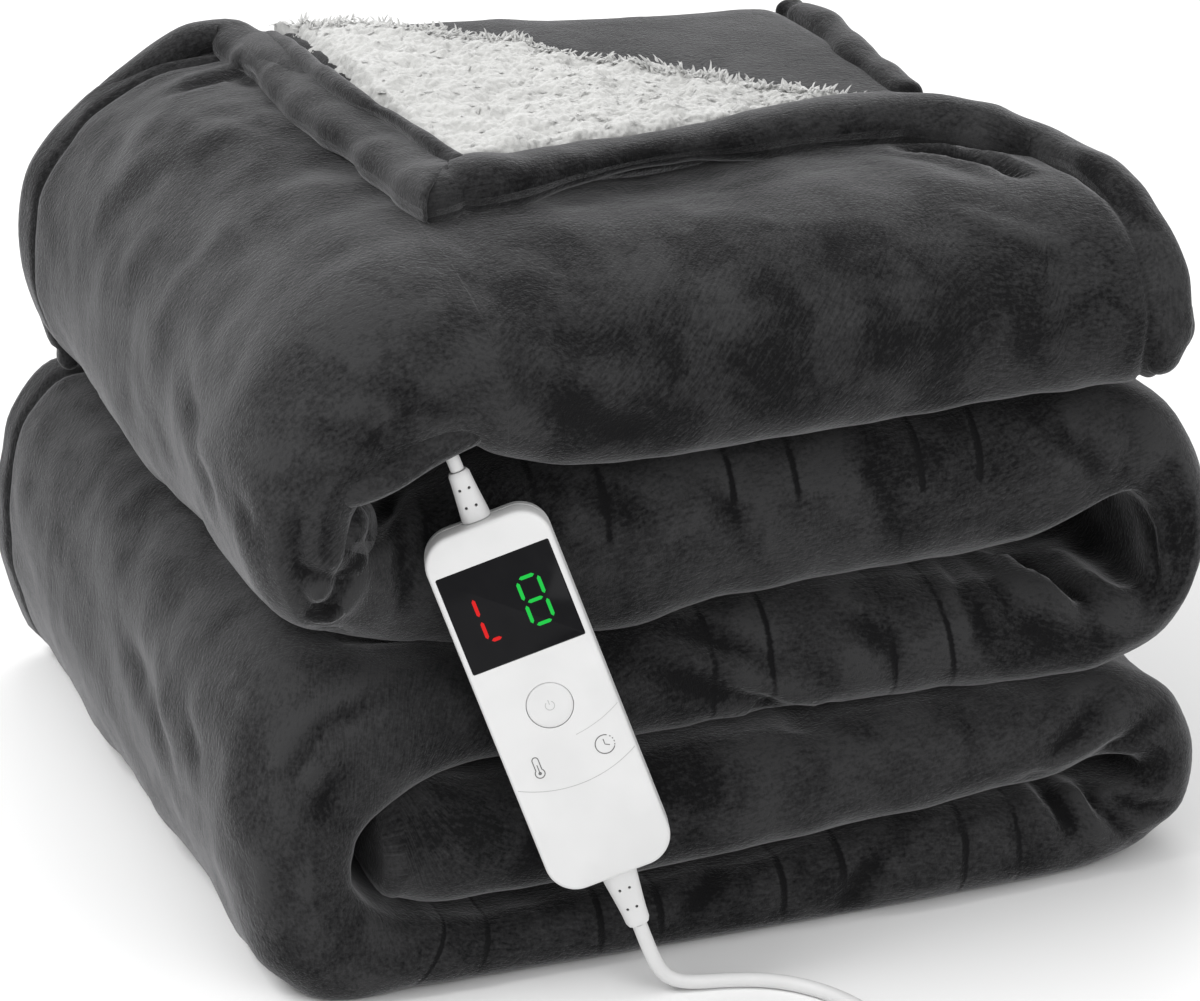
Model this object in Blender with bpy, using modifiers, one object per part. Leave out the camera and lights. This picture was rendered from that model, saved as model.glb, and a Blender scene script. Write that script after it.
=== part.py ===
"""An electric heated blanket, folded for the shelf, with its wired hand controller.

The cloth is one piece. Across its width it is folded like a letter, in three sheets, into a strip
about 0.37 m deep. Along its length that strip runs back and forth in five layers. One corner of the
top sheet is turned over and shows the fleece lining. Units are metres, +Z up, front towards -Y.
"""
import math

import bmesh
import bpy
from mathutils import Matrix, Vector

MM = 0.001
GAP = 0.0003                    # between pieces that touch

# The part's middle in plan, in the frame in which the sizes below are given.
PLAN_CENTRE = Vector((-0.0035, -0.0173, 0.0))

# ---------------------------------------------------------------- cloth
SHEET = 0.017                   # one sheet of flannel and fleece, lofted
SLIT = 0.0014                   # between sheets
HEM_WIDTH = 0.022
HEM_ROUND = 0.004
EDGE_LEVEL = 0.42               # how high up a layer its front edge stands furthest out

# The strip from its free end on top to its free end inside, in millimetres. Each row is one
# crosswise section: side a carries the outer sheet, side b the inner one. front and rear are the
# fold lines along Y, round_a and round_b are how far behind the front edge each side starts to round.
FOLD_COLUMNS = ("x_a", "z_a", "x_b", "z_b", "front", "rear", "round_a", "round_b")
FOLD_ROWS = (
    # top layer, right to left
    (187, 272, 187, 224, -190, 174, 26, 16),
    (181, 281, 181, 215, -193, 178, 40, 18),
    (168, 286, 169, 211, -194, 179, 56, 20),
    (150, 288, 150, 210, -194, 180, 68, 20),
    (120, 288, 121, 209, -194, 180, 78, 20),
    (85, 288, 85, 208, -194, 179, 85, 20),
    (45, 288, 45, 207, -195, 178, 85, 20),
    (5, 288, 5, 207, -195, 177, 85, 20),
    (-35, 288, -35, 207, -195, 176, 85, 20),
    (-80, 288, -78, 209, -195, 175, 80, 20),
    (-114, 288, -104, 217, -195, 175, 74, 18),
    # upper left bend
    (-140, 286, -120, 226, -194, 176, 64, 16),
    (-165, 275, -139, 223, -193, 176, 52, 14),
    (-185, 255, -152, 214, -192, 175, 42, 13),
    (-197, 230, -160, 205, -191, 174, 34, 12),
    (-202, 202, -163, 198, -190, 173, 30, 12),
    (-198, 174, -162, 190, -188, 170, 28, 13),
    (-184, 152, -156, 184, -185, 168, 26, 16),
    (-158, 140, -143, 186, -178, 167, 26, 20),
    # second layer, left to right
    (-130, 133, -122, 195, -171.8, 167, 26, 28),
    (-95, 129, -95, 203, -174, 167, 26, 30),
    (-50, 129, -50, 204, -178, 167, 26, 30),
    (0, 135, 0, 204, -180, 168, 26, 30),
    (50, 142, 50, 205, -182, 168, 26, 30),
    (95, 148, 98, 206, -183, 168, 24, 30),
    (126, 152, 138, 206, -184, 169, 20, 30),
    # middle right bend
    (147, 154, 168, 203, -185, 170, 14, 30),
    (163, 153, 188, 192, -186, 171, 12, 30),
    (173, 146, 200, 171, -187, 171, 11, 30),
    (175, 135, 203, 143, -187, 171, 11, 30),
    (171, 123, 197, 115, -187, 171, 11, 28),
    (161, 117, 185, 95, -186, 171, 12, 26),
    (145, 116, 163, 85, -184, 171, 16, 24),
    # third layer, right to left
    (120, 125, 130, 83, -182, 171, 22, 22),
    (86, 138, 92, 83, -180, 172, 26, 22),
    (45, 139, 48, 83, -179, 172, 26, 22),
    (0, 132, 0, 83, -178, 173, 26, 22),
    (-50, 126, -50, 83, -178, 174, 26, 22),
    (-95, 126, -95, 83, -180, 177, 26, 22),
    (-132, 130, -128, 84, -184, 182, 28, 16),
    # lower left bend
    (-160, 137, -145, 80, -188, 187, 30, 13),
    (-187, 138, -157, 74, -190, 191, 32, 12),
    (-203, 121, -164, 67, -191, 193, 32, 12),
    (-211, 95, -167, 60, -192, 194, 32, 12),
    (-213, 65, -168, 53, -193, 194, 32, 12),
    (-209, 37, -167, 45, -194, 193, 32, 12),
    (-200, 14, -160, 36, -195, 191, 26, 12),
    # bottom layer, left to right
    (-183, 0, -148, 29, -196, 187, 18, 14),
    (-140, 0, -126, 27, -197, 182, 14, 15),
    (-65, 0, -65, 28, -197, 180, 12, 15),
    (0, 0, 0, 30, -197, 179, 12, 16),
    (60, 0, 60, 36, -197, 179, 12, 18),
    (110, 0, 110, 38, -196, 179, 14, 18),
    (160, 0, 146, 37, -193, 179, 18, 14),
    # lower right bend
    (184, 5, 161, 37, -191, 178, 24, 10),
    (201, 19, 170, 39, -190, 177, 26, 9),
    (206, 42, 174, 42, -190, 176, 28, 9),
    (198, 66, 170, 45, -191, 175, 28, 10),
    (174, 80, 158, 46, -192, 174, 26, 14),
    # fourth layer, right to left, its end inside the lower left bend
    (135, 81, 136, 43, -194, 173, 26, 20),
    (90, 81, 90, 40, -196, 173, 26, 22),
    (40, 81, 40, 36, -198, 173, 26, 22),
    (-20, 81, -20, 33, -200, 173, 26, 22),
    (-75, 81, -75, 32, -198.6, 173, 26, 22),
    (-112, 81, -112, 32, -197.2, 173, 24, 22),
    (-137, 79, -137, 34, -194, 172, 22, 20),
    (-146, 73, -146, 40, -191, 169, 18, 16),
)

TOP_ROWS = 11                   # rows of the top layer
TOP_LEVEL = 0.25                # side a is above this on the top layer alone
END_FROM = 0.100                # the top layer's end slants: from this x on,
END_TURN = -0.100               # and from this depth back, its sections lean to the left
END_SLANT = 0.075

# The corner of the top sheet that is turned over, sherpa side up.
FLAP_X = -0.110                 # its free edge that runs front to back
FLAP_FRONT = -0.100             # its free edge that runs left to right
FLAP_REAR = 0.174               # where the diagonal fold meets the sheet's long edge
FLAP_STEP = 0.001               # width over which the flap's free edge rises
FLAP_END = 0.165                # the turned corner's sections lie left of this
FLAP_BESIDE = 0.180             # and the one just right of it left of this
FLAP_CORE = 0.0080              # thickness under the lining
FLAP_HEM = 0.0130               # thickness along the hems
FOLD_REACH = 0.011              # from the fold's crest back to where the flap lies flat
SHERPA_THICK = 0.0065
SHERPA_LUMP = 0.0011
SWELL_HEIGHT = 0.0100           # of the bare middle sheet behind the diagonal fold
SWELL_START = 0.0220
SWELL_REACH = 0.0500


def fold_rows():
    """The section rows as dictionaries in metres."""
    return [{name: value * MM for name, value in zip(FOLD_COLUMNS, row)} for row in FOLD_ROWS]


def blend_rows(row, other, share):
    """A row between two rows."""
    return {name: row[name] + (other[name] - row[name]) * share for name in FOLD_COLUMNS}


def row_at_x(rows, x):
    """The row of the top layer whose side a stands at x."""
    for row, other in zip(rows, rows[1:]):
        if other["x_a"] <= x <= row["x_a"]:
            return blend_rows(row, other, (row["x_a"] - x) / (row["x_a"] - other["x_a"]))
    raise ValueError("no top layer at this x")


def edge_levels(row, y):
    """Lowest and highest level of a layer at depth y; both meet at the front edge."""
    levels = []
    for reach, flat in ((row["round_b"], 0.0), (row["round_a"], 1.0)):
        inward = min(1.0, max(0.0, (y - row["front"]) / reach))
        levels.append(EDGE_LEVEL + (flat - EDGE_LEVEL) * math.sqrt(1.0 - (1.0 - inward) ** 2))
    return levels


def end_slant(row, y):
    """How far a section of the top layer's right end leans to the left at depth y."""
    if row["z_a"] < TOP_LEVEL or row["x_a"] < END_FROM:
        return 0.0
    share = (row["x_a"] - END_FROM) / (FOLD_ROWS[0][0] * MM - END_FROM)
    return END_SLANT * share * max(0.0, y - END_TURN)


def place(row, y, level, lift=0.0):
    """A point of the section: level 0 is side b, level 1 is side a, lift is above side a."""
    low, high = edge_levels(row, y)
    height = low + (high - low) * level
    side_a = Vector((row["x_a"], 0.0, row["z_a"]))
    side_b = Vector((row["x_b"], 0.0, row["z_b"]))
    point = side_b.lerp(side_a, height) + (side_a - side_b).normalized() * lift
    point.x -= end_slant(row, y)
    point.y = y
    point.z = max(0.0, point.z)
    return point


def sheet_levels(row):
    """Levels of the six faces of the three sheets, from side b up to side a."""
    thick = math.hypot(row["x_a"] - row["x_b"], row["z_a"] - row["z_b"])
    slit = min(SLIT / thick, 0.05)
    sheet = min(SHEET / thick, (1.0 - 2.0 * slit) / 3.0)
    inner = 1.0 - 2.0 * sheet - 2.0 * slit
    return (0.0, inner, inner + slit, inner + slit + sheet, 1.0 - sheet, 1.0), thick


def spread(start, end, count):
    """count values from start to end, both included."""
    return [start + (end - start) * index / (count - 1) for index in range(count)]


def front_arc(row, side, count):
    """Depths along a rounded front side, close together at the edge, edge excluded."""
    reach = row["round_" + side]
    angles = [0.5 * math.pi * (index + 1) / count for index in range(count)]
    return [row["front"] + reach * (1.0 - math.cos(angle)) for angle in angles]


def flap_fold(x):
    """Depth of the diagonal fold at x."""
    return FLAP_REAR - (x - FLAP_X)


def flap_section(row, level_low, level_high):
    """The turned corner's part of a section, from the sheet's lining side to its face."""
    x = row["x_a"]
    crest = flap_fold(x)
    reach = min(FOLD_REACH * math.sqrt(2.0), 0.4 * (crest - FLAP_FRONT))
    flat = crest - reach
    on_side_hem = x < FLAP_X + HEM_WIDTH
    hem_end = max(FLAP_FRONT + 0.004, min(FLAP_FRONT + HEM_WIDTH, flat - 0.006))
    core = FLAP_HEM if on_side_hem else FLAP_CORE
    top = [(crest - 0.3 * reach, level_high, 0.75 * core), (flat, level_high, core)]
    for share in (0.33, 0.67):
        top.append((flat + (hem_end + 0.003 - flat) * share, level_high, core))
    top.append((hem_end + 0.003, level_high, core))
    top.append((hem_end, level_high, FLAP_HEM))
    top.append((FLAP_FRONT + 0.004, level_high, FLAP_HEM))
    top.append((FLAP_FRONT, level_high, 0.5 * (FLAP_HEM + SLIT)))
    under = [(FLAP_FRONT + 0.004, level_high, SLIT)]
    for share in (0.33, 0.67, 1.0):
        under.append((FLAP_FRONT + 0.004 + (flat - FLAP_FRONT - 0.004) * share, level_high, SLIT))
    under.append((flat + 0.35 * reach, level_high, 0.4 * SLIT))
    low = (crest - 0.35 * reach, 0.5 * (level_low + level_high), 0.0)
    return [low, (crest, level_high, -0.2 * core)] + top + under


def is_bare(row):
    """Whether the turned corner leaves the middle sheet bare at this row."""
    return row["z_a"] > TOP_LEVEL and row["x_a"] > FLAP_X - 0.5 * FLAP_STEP


def swell(row, y):
    """How far the middle sheet swells up where the turned corner leaves it bare."""
    if not is_bare(row):
        return 0.0
    behind = (y - flap_fold(row["x_a"]) - SWELL_START) / SWELL_REACH
    share = min(1.0, max(0.0, behind))
    return SWELL_HEIGHT * share * share * (3.0 - 2.0 * share)


def bare_depths(row, first, last):
    """Four depths along the middle sheet's face, between two depths, where it swells if it does."""
    if not is_bare(row):
        return spread(first, last, 6)[1:5]
    begin = flap_fold(row["x_a"]) + SWELL_START
    depths = []
    for index, share in enumerate((0.0, 0.3, 0.65, 1.0)):
        depth = min(begin + SWELL_REACH * share, last - 0.001 * (4 - index))
        depths.append(max(depth, first + 0.001 * (index + 1)))
    return depths


FLAP_POINTS = 15


def cloth_section(row, turned, beside=False):
    """One closed outline of the letter-folded strip.

    turned says that the top sheet's corner is folded over here, and beside that it is so at the
    next section: then the turned corner's points gather just above the sheet's own edge.
    """
    levels, thick = sheet_levels(row)
    floor, s1_in, s2_in, s2_out, s3_in, roof = levels
    front, rear = row["front"], row["rear"]
    edge = rear
    flap = None
    if is_bare(row):
        edge = min(rear, flap_fold(row["x_a"]))
    if turned:
        flap = flap_section(row, s3_in, roof)
        edge = flap[-1][0]
    start = edge - (0.0 if turned else HEM_ROUND)
    arc_a = front_arc(row, "a", 4)
    arc_b = front_arc(row, "b", 3)
    rear_round = 0.45 * s2_out * thick
    back = rear - min(rear_round, 0.013 if is_bare(row) else 0.022)
    inner_front = front + max(0.008, min(0.9 * SHEET, 0.30 * thick))
    near = inner_front + 0.003
    deep = max(front + row["round_a"], near + 0.018)
    step = deep - near
    depths = [near, near + 0.28 * step, near + 0.62 * step, deep, 0.5 * (deep + back)]
    s2_front = depths[1]
    s2_round = min(HEM_ROUND, 0.4 * (depths[2] - s2_front))
    s2_depths = [s2_front + s2_round] + depths[2:] + [back]
    s2_face = s2_depths[:-2] + bare_depths(row, deep, back) + [back]

    outline = []
    if turned:
        outline += flap
    elif beside:
        outline += [(edge, 0.5 * (s3_in + roof), 0.0)] * 2
        outline += [(start, roof, 0.5 * SLIT)] * (FLAP_POINTS - 2)
    else:
        outline += [(edge, 0.5 * (s3_in + roof), 0.0)] * FLAP_POINTS
    outline += [(y, roof, 0.0) for y in spread(start, arc_a[-1], 5)]
    outline += [(y, roof, 0.0) for y in reversed(arc_a[:-1])]
    outline.append((front, roof, 0.0))
    outline += [(y, floor, 0.0) for y in arc_b]
    outline += [(y, floor, 0.0) for y in spread(arc_b[-1], back, 4)[1:]]
    for angle in (45.0, 90.0, 135.0):
        swing = math.radians(angle)
        share = 0.5 * (1.0 - math.cos(swing))
        y = back + (rear - back) * math.sin(swing)
        outline.append((y, share * s2_out, share * swell(row, y)))
    outline += [(y, s2_out, swell(row, y)) for y in reversed(s2_face)]
    outline.append((s2_front, 0.5 * (s2_in + s2_out), 0.0))
    outline += [(y, s2_in, 0.0) for y in s2_depths]
    outline.append((back + 0.3 * (rear - back), 0.5 * (s1_in + s2_in), 0.0))
    outline += [(y, s1_in, 0.0) for y in reversed(depths + [back])]
    outline.append((inner_front, 0.5 * (s1_in + s3_in), 0.0))
    outline += [(min(y, start), s3_in, 0.0) for y in depths + [start]]
    return [place(row, y, level, lift) for y, level, lift in outline]


def cloth_stations():
    """Every section of the strip in order, with the turned corner's own ones among them."""
    rows = fold_rows()
    flap_xs = [FLAP_X, FLAP_X + HEM_WIDTH - 0.001, FLAP_X + HEM_WIDTH]
    flap_xs += spread(FLAP_X + 0.055, 0.140, 7)
    stations = []
    top = [row for row in rows[:TOP_ROWS] if row["x_a"] > 0.145 or row["x_a"] < FLAP_X - 0.003]
    right = [row for row in top if row["x_a"] > 0]
    left = [row for row in top if row["x_a"] < 0]
    for row in right:
        turned = row["x_a"] < FLAP_END
        stations.append(cloth_section(row, turned, beside=row["x_a"] < FLAP_BESIDE))
    for x in reversed(flap_xs):
        stations.append(cloth_section(row_at_x(rows, x), True))
    stations.append(cloth_section(row_at_x(rows, FLAP_X - FLAP_STEP), False, beside=True))
    for row in left + rows[TOP_ROWS:]:
        stations.append(cloth_section(row, False))
    return stations


def finish_mesh(name, mesh, material):
    """Store a mesh as a named object of the part."""
    data = bpy.data.meshes.new(name)
    mesh.to_mesh(data)
    mesh.free()
    data.materials.append(material)
    return add_object(name, data)


def loft(name, sections, material, merge=0.00005):
    """A closed solid through sections of equal point counts, with flat ends."""
    mesh = bmesh.new()
    rings = [[mesh.verts.new(point - PLAN_CENTRE) for point in section] for section in sections]
    count = len(sections[0])
    for ring, other in zip(rings, rings[1:]):
        for index in range(count):
            after = (index + 1) % count
            mesh.faces.new((ring[index], ring[after], other[after], other[index]))
    for ring in (rings[0], rings[-1]):
        mesh.faces.new(ring)
    bmesh.ops.remove_doubles(mesh, verts=mesh.verts[:], dist=merge)
    bmesh.ops.triangulate(mesh, faces=mesh.faces[:])
    bmesh.ops.recalc_face_normals(mesh, faces=mesh.faces[:])
    return finish_mesh(name, mesh, material)


# ---------------------------------------------------------------- scene and materials
def clear_scene():
    """Remove whatever the scene holds."""
    for thing in list(bpy.data.objects):
        bpy.data.objects.remove(thing, do_unlink=True)


def make_collection(name):
    """A collection in the scene."""
    collection = bpy.data.collections.new(name)
    bpy.context.scene.collection.children.link(collection)
    return collection


clear_scene()
PARTS = make_collection("electric_heated_blanket")
CUTTERS = make_collection("cutters")


def add_object(name, data, collection=None):
    """A named object that holds data."""
    thing = bpy.data.objects.new(name, data)
    (collection or PARTS).objects.link(thing)
    return thing


def make_material(name, colour, roughness, metallic=0.0):
    """A Principled material."""
    material = bpy.data.materials.new(name)
    material.use_nodes = True
    shader = material.node_tree.nodes["Principled BSDF"]
    shader.inputs["Base Color"].default_value = (*colour, 1.0)
    shader.inputs["Roughness"].default_value = roughness
    shader.inputs["Metallic"].default_value = metallic
    material.diffuse_color = (*colour, 1.0)
    return material


FLANNEL = make_material("dark_grey_flannel", (0.045, 0.045, 0.048), 0.95)
SHERPA = make_material("white_sherpa", (0.80, 0.79, 0.76), 0.95)
CASE_WHITE = make_material("white_plastic", (0.82, 0.82, 0.82), 0.38)
KEY_WHITE = make_material("white_key", (0.80, 0.80, 0.80), 0.42)
WINDOW_BLACK = make_material("black_window", (0.008, 0.008, 0.009), 0.12)
CORD_WHITE = make_material("white_cord", (0.78, 0.78, 0.77), 0.50)
BLADE_METAL = make_material("plug_blade_metal", (0.72, 0.70, 0.62), 0.28, 1.0)


# ---------------------------------------------------------------- cloth and its lining
def build_blanket():
    """The one-piece cloth, with the turned corner."""
    return loft("blanket", cloth_stations(), FLANNEL)


def sherpa_section(row, slope):
    """The lining on the turned corner at one station: over the flap and round its fold."""
    x = row["x_a"]
    levels, _ = sheet_levels(row)
    crest = flap_fold(x)
    reach = min(FOLD_REACH * math.sqrt(2.0), 0.4 * (crest - FLAP_FRONT))
    flat = crest - reach
    hem_end = min(FLAP_FRONT + HEM_WIDTH, flat - 0.006)
    front = hem_end + 0.0034
    base = FLAP_CORE + GAP
    top = base + SHERPA_THICK
    grow = SHERPA_THICK * math.sqrt(2.0)
    low = -0.75 * SHEET
    outline = [(front, base + 0.0004), (front + 0.0006, top - 0.0022)]
    for index, y in enumerate(spread(front + 0.004, flat, 7)):
        lump = SHERPA_LUMP * math.sin(index * 2.1 + slope * 37.0)
        outline.append((y, top + lump))
    outline.append((crest - 0.35 * reach + 0.55 * grow, 0.78 * top))
    outline.append((crest + 0.75 * grow, 0.35 * top))
    outline.append((crest + grow, -0.15 * top))
    outline.append((crest + 0.7 * grow, low))
    outline.append((crest + 0.2 * grow, low - 0.0002))
    clear = 0.0009
    outline.append((crest - 0.1 * reach + clear, -0.45 * SHEET))
    outline.append((crest + clear, -0.2 * FLAP_CORE))
    outline.append((crest - 0.25 * reach + clear, 0.76 * FLAP_CORE + clear))
    outline.append((flat, base))
    for y in reversed(spread(front + 0.004, flat, 4)[:-1]):
        outline.append((y, base))
    return [place(row, y, 1.0, lift) for y, lift in outline]


def build_sherpa():
    """The white lining where the turned corner shows it."""
    rows = fold_rows()
    first = FLAP_X + HEM_WIDTH + 0.0006
    last = 0.118
    sections = []
    for x in spread(first, last, 16):
        sections.append(sherpa_section(row_at_x(rows, x), x))
    return loft("sherpa_lining", sections, SHERPA)


# ---------------------------------------------------------------- controller
CASE_WIDTH = 0.0510
CASE_LENGTH = 0.1525
CASE_DEPTH = 0.0200
CASE_CORNER = 0.0125            # corner radius of the outline
CASE_PARTING = 0.0105           # depth of the joint between the two shells
# Depth behind the face, and how far the outline stands in there.
FRONT_RINGS = (
    (0.0, 0.0017),
    (0.0004, 0.0008),
    (0.0013, 0.0002),
    (0.0030, 0.0),
    (CASE_PARTING, 0.0),
)
BACK_RINGS = (
    (CASE_PARTING + GAP, 0.0),
    (0.0160, 0.0003),
    (0.0182, 0.0014),
    (0.0194, 0.0032),
    (CASE_DEPTH, 0.0056),
)
WINDOW_WIDTH = 0.0460
WINDOW_LENGTH = 0.0407
WINDOW_HEIGHT = 0.0413          # its middle above the case's middle
WINDOW_THICK = 0.0015
WINDOW_CORNER = 0.0008
BUTTON_RADIUS = 0.0091
BUTTON_HEIGHT = -0.0010
BUTTON_THICK = 0.0030
BUTTON_TRAVEL = 0.0008
BUTTON_ROOM = 0.0004            # left under the button when it is pressed
CORNER_STEPS = 6

# The case leans against the folds: it turns about Z, leans back about X, then rolls about Y.
CASE_TURN = math.radians(-14.0)
CASE_LEAN = math.radians(-12.0)
CASE_ROLL = math.radians(-17.8)
CASE_FACE = Vector((-0.0933, -0.2090, 0.1243))      # middle of its face, before PLAN_CENTRE


def case_matrix():
    """From the case's own axes (face towards -Y, length along Z) to the part's."""
    turn = Matrix.Rotation(CASE_ROLL, 4, "Y") @ Matrix.Rotation(CASE_LEAN, 4, "X")
    turn = turn @ Matrix.Rotation(CASE_TURN, 4, "Z")
    return Matrix.Translation(CASE_FACE - PLAN_CENTRE) @ turn


def rounded_outline(width, length, corner, steps):
    """Points (x, z) around a rounded rectangle."""
    points = []
    quarters = ((1, 1, 0), (-1, 1, 90), (-1, -1, 180), (1, -1, 270))
    for side_x, side_z, start in quarters:
        centre_x = side_x * (0.5 * width - corner)
        centre_z = side_z * (0.5 * length - corner)
        for index in range(steps + 1):
            angle = math.radians(start + 90.0 * index / steps)
            spot_x = centre_x + corner * math.cos(angle)
            points.append((spot_x, centre_z + corner * math.sin(angle)))
    return points


def plate_mesh(width, length, corner, rings, steps=CORNER_STEPS, height=0.0):
    """A rounded plate from rings of (depth, inset)."""
    mesh = bmesh.new()
    loops = []
    for depth, inset in rings:
        round_corner = max(corner - inset, 0.0002)
        outline = rounded_outline(width - 2.0 * inset, length - 2.0 * inset, round_corner, steps)
        loops.append([mesh.verts.new((x, depth, z + height)) for x, z in outline])
    count = len(loops[0])
    for loop, other in zip(loops, loops[1:]):
        for index in range(count):
            after = (index + 1) % count
            mesh.faces.new((loop[index], loop[after], other[after], other[index]))
    mesh.faces.new(loops[0])
    mesh.faces.new(loops[-1])
    bmesh.ops.recalc_face_normals(mesh, faces=mesh.faces[:])
    return mesh


def seat(thing, matrix):
    """Bake a place into a thing that is built in the case's own axes."""
    thing.data.transform(matrix)
    return thing


def shade(thing):
    """Smooth shading but for the sharp edges."""
    thing.data.shade_smooth()
    thing.data.set_sharp_from_angle(angle=math.radians(35.0))


def round_cutter(name, radius, low, high, height):
    """A cylinder along the case's depth, between two depths."""
    mesh = bmesh.new()
    bmesh.ops.create_cone(mesh, cap_ends=True, segments=32, radius1=radius, radius2=radius,
                          depth=high - low)
    bmesh.ops.rotate(mesh, verts=mesh.verts[:], matrix=Matrix.Rotation(math.radians(90.0), 3, "X"))
    bmesh.ops.translate(mesh, verts=mesh.verts[:], vec=(0.0, 0.5 * (low + high), height))
    data = bpy.data.meshes.new(name)
    mesh.to_mesh(data)
    mesh.free()
    return data


def cut(thing, data, name):
    """Cut a thing with a hidden cutter."""
    cutter = add_object(name, data, CUTTERS)
    cutter.hide_render = True
    cutter.display_type = "WIRE"
    modifier = thing.modifiers.new(name, "BOOLEAN")
    modifier.operation = "DIFFERENCE"
    modifier.solver = "EXACT"
    modifier.object = cutter


def build_case(matrix):
    """The two shells, the window and the power button."""
    front_mesh = plate_mesh(CASE_WIDTH, CASE_LENGTH, CASE_CORNER, FRONT_RINGS)
    front = finish_mesh("controller_front_shell", front_mesh, CASE_WHITE)
    back_mesh = plate_mesh(CASE_WIDTH, CASE_LENGTH, CASE_CORNER, BACK_RINGS)
    back = finish_mesh("controller_back_shell", back_mesh, CASE_WHITE)
    pocket_rings = ((-0.002, -GAP), (WINDOW_THICK + GAP, -GAP))
    pocket = plate_mesh(WINDOW_WIDTH, WINDOW_LENGTH, WINDOW_CORNER, pocket_rings, 2, WINDOW_HEIGHT)
    pocket_data = bpy.data.meshes.new("window_pocket")
    pocket.to_mesh(pocket_data)
    pocket.free()
    depth = BUTTON_THICK + BUTTON_TRAVEL + BUTTON_ROOM
    hole = round_cutter("button_hole", BUTTON_RADIUS + GAP, -0.002, depth, BUTTON_HEIGHT)
    for data, name in ((pocket_data, "window_pocket"), (hole, "button_hole")):
        data.transform(matrix)
        cut(front, data, name)
    window_rings = ((0.0, 0.0003), (0.0003, 0.0), (WINDOW_THICK, 0.0))
    window_mesh = plate_mesh(WINDOW_WIDTH, WINDOW_LENGTH, WINDOW_CORNER, window_rings, 2,
                             WINDOW_HEIGHT)
    window = finish_mesh("display_window", window_mesh, WINDOW_BLACK)
    button_rings = ((-0.0003, 0.0022), (0.0, 0.0006), (0.0004, 0.0), (BUTTON_THICK, 0.0))
    side = 2.0 * BUTTON_RADIUS
    button_mesh = plate_mesh(side, side, BUTTON_RADIUS, button_rings, 8, BUTTON_HEIGHT)
    bmesh.ops.remove_doubles(button_mesh, verts=button_mesh.verts[:], dist=0.00005)
    button = finish_mesh("power_button", button_mesh, KEY_WHITE)
    for thing in (front, back, window, button):
        seat(thing, matrix)
        shade(thing)


# ---------------------------------------------------------------- cords
CORD_RADIUS = 0.0030
LEAD_RADIUS = 0.00275
RELIEF_DEPTH = 0.0100           # middle of the cord behind the case's face
TOP_RELIEF = dict(length=0.0200, wide=0.0120, tip=0.0088, deep=0.0100)
BOTTOM_RELIEF = dict(length=0.0240, wide=0.0150, tip=0.0100, deep=0.0105)
RELIEF_SEGMENTS = 16
CORD_STEP = 2.4                 # tube points, in diameters
CORD_STRAIGHT = 0.0040          # straight bit at a strain relief

COIL_CENTRE = Vector((-0.0330, -0.3450, 0.0))
COIL_INNER = 0.0230
COIL_OUTER = 0.0478
COIL_HEIGHT = 0.0124
COIL_ROUND = 0.0028
COIL_SEGMENTS = 40

PLUG_CENTRE = Vector((-0.1102, -0.3724, 0.0102))    # middle of its body, before PLAN_CENTRE
PLUG_TURN = math.radians(160.0)                     # its blades point along +X, turned about Z
PLUG_LENGTH = 0.0300
PLUG_WIDE = 0.0250
PLUG_HIGH = 0.0196
PLUG_RELIEF = 0.0220
BLADE_LENGTH = 0.0165
BLADE_WIDE = 0.0063
BLADE_THICK = 0.0015
BLADE_SPACING = 0.0127

# The lead from the controller into the hollow of the upper fold, before PLAN_CENTRE.
LEAD_ROUTE = (
    (-0.1223, -0.1765, 0.2125),
    (-0.1240, -0.1715, 0.2175),
    (-0.1258, -0.1640, 0.2208),
    (-0.1278, -0.1540, 0.2218),
    (-0.1302, -0.1400, 0.2200),
    (-0.1328, -0.1220, 0.2165),
    (-0.1348, -0.1000, 0.2122),
    (-0.1362, -0.0750, 0.2080),
    (-0.1370, -0.0480, 0.2040),
    (-0.1372, -0.0200, 0.2008),
    (-0.1372, 0.0080, 0.1986),
    (-0.1372, 0.0320, 0.1974),
    (-0.1372, 0.0480, 0.1970),
)
# The mains cord from the controller to the coil, on the floor in front.
MAINS_ROUTE = (
    (-0.0585, -0.2215, 0.0238),
    (-0.0563, -0.2232, 0.0172),
    (-0.0540, -0.2243, 0.0118),
    (-0.0505, -0.2254, 0.0071),
    (-0.0448, -0.2266, 0.0042),
    (-0.0370, -0.2282, 0.0033),
    (-0.0260, -0.2305, 0.0031),
    (-0.0140, -0.2350, 0.0031),
    (-0.0030, -0.2430, 0.0031),
    (0.0060, -0.2545, 0.0031),
    (0.0125, -0.2690, 0.0031),
    (0.0162, -0.2860, 0.0031),
    (0.0178, -0.3040, 0.0031),
    (0.0181, -0.3240, 0.0031),
    (0.0181, -0.3450, 0.0031),
)
# From the coil to the plug.
TAIL_ROUTE = (
    (-0.0330, -0.3961, 0.0031),
    (-0.0420, -0.3960, 0.0033),
    (-0.0500, -0.3947, 0.0044),
    (-0.0580, -0.3923, 0.0066),
    (-0.0650, -0.3893, 0.0090),
)

SOCKET_SIZE = (0.0180, 0.0340, 0.0110)              # the lead's socket on the cloth
SOCKET_CENTRE = Vector((-0.1372, 0.0700, 0.1970))
SOCKET_TILT = math.radians(-22.0)                   # it lies on the slope of the layer below
SOCKET_BEVEL = 0.0022


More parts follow.
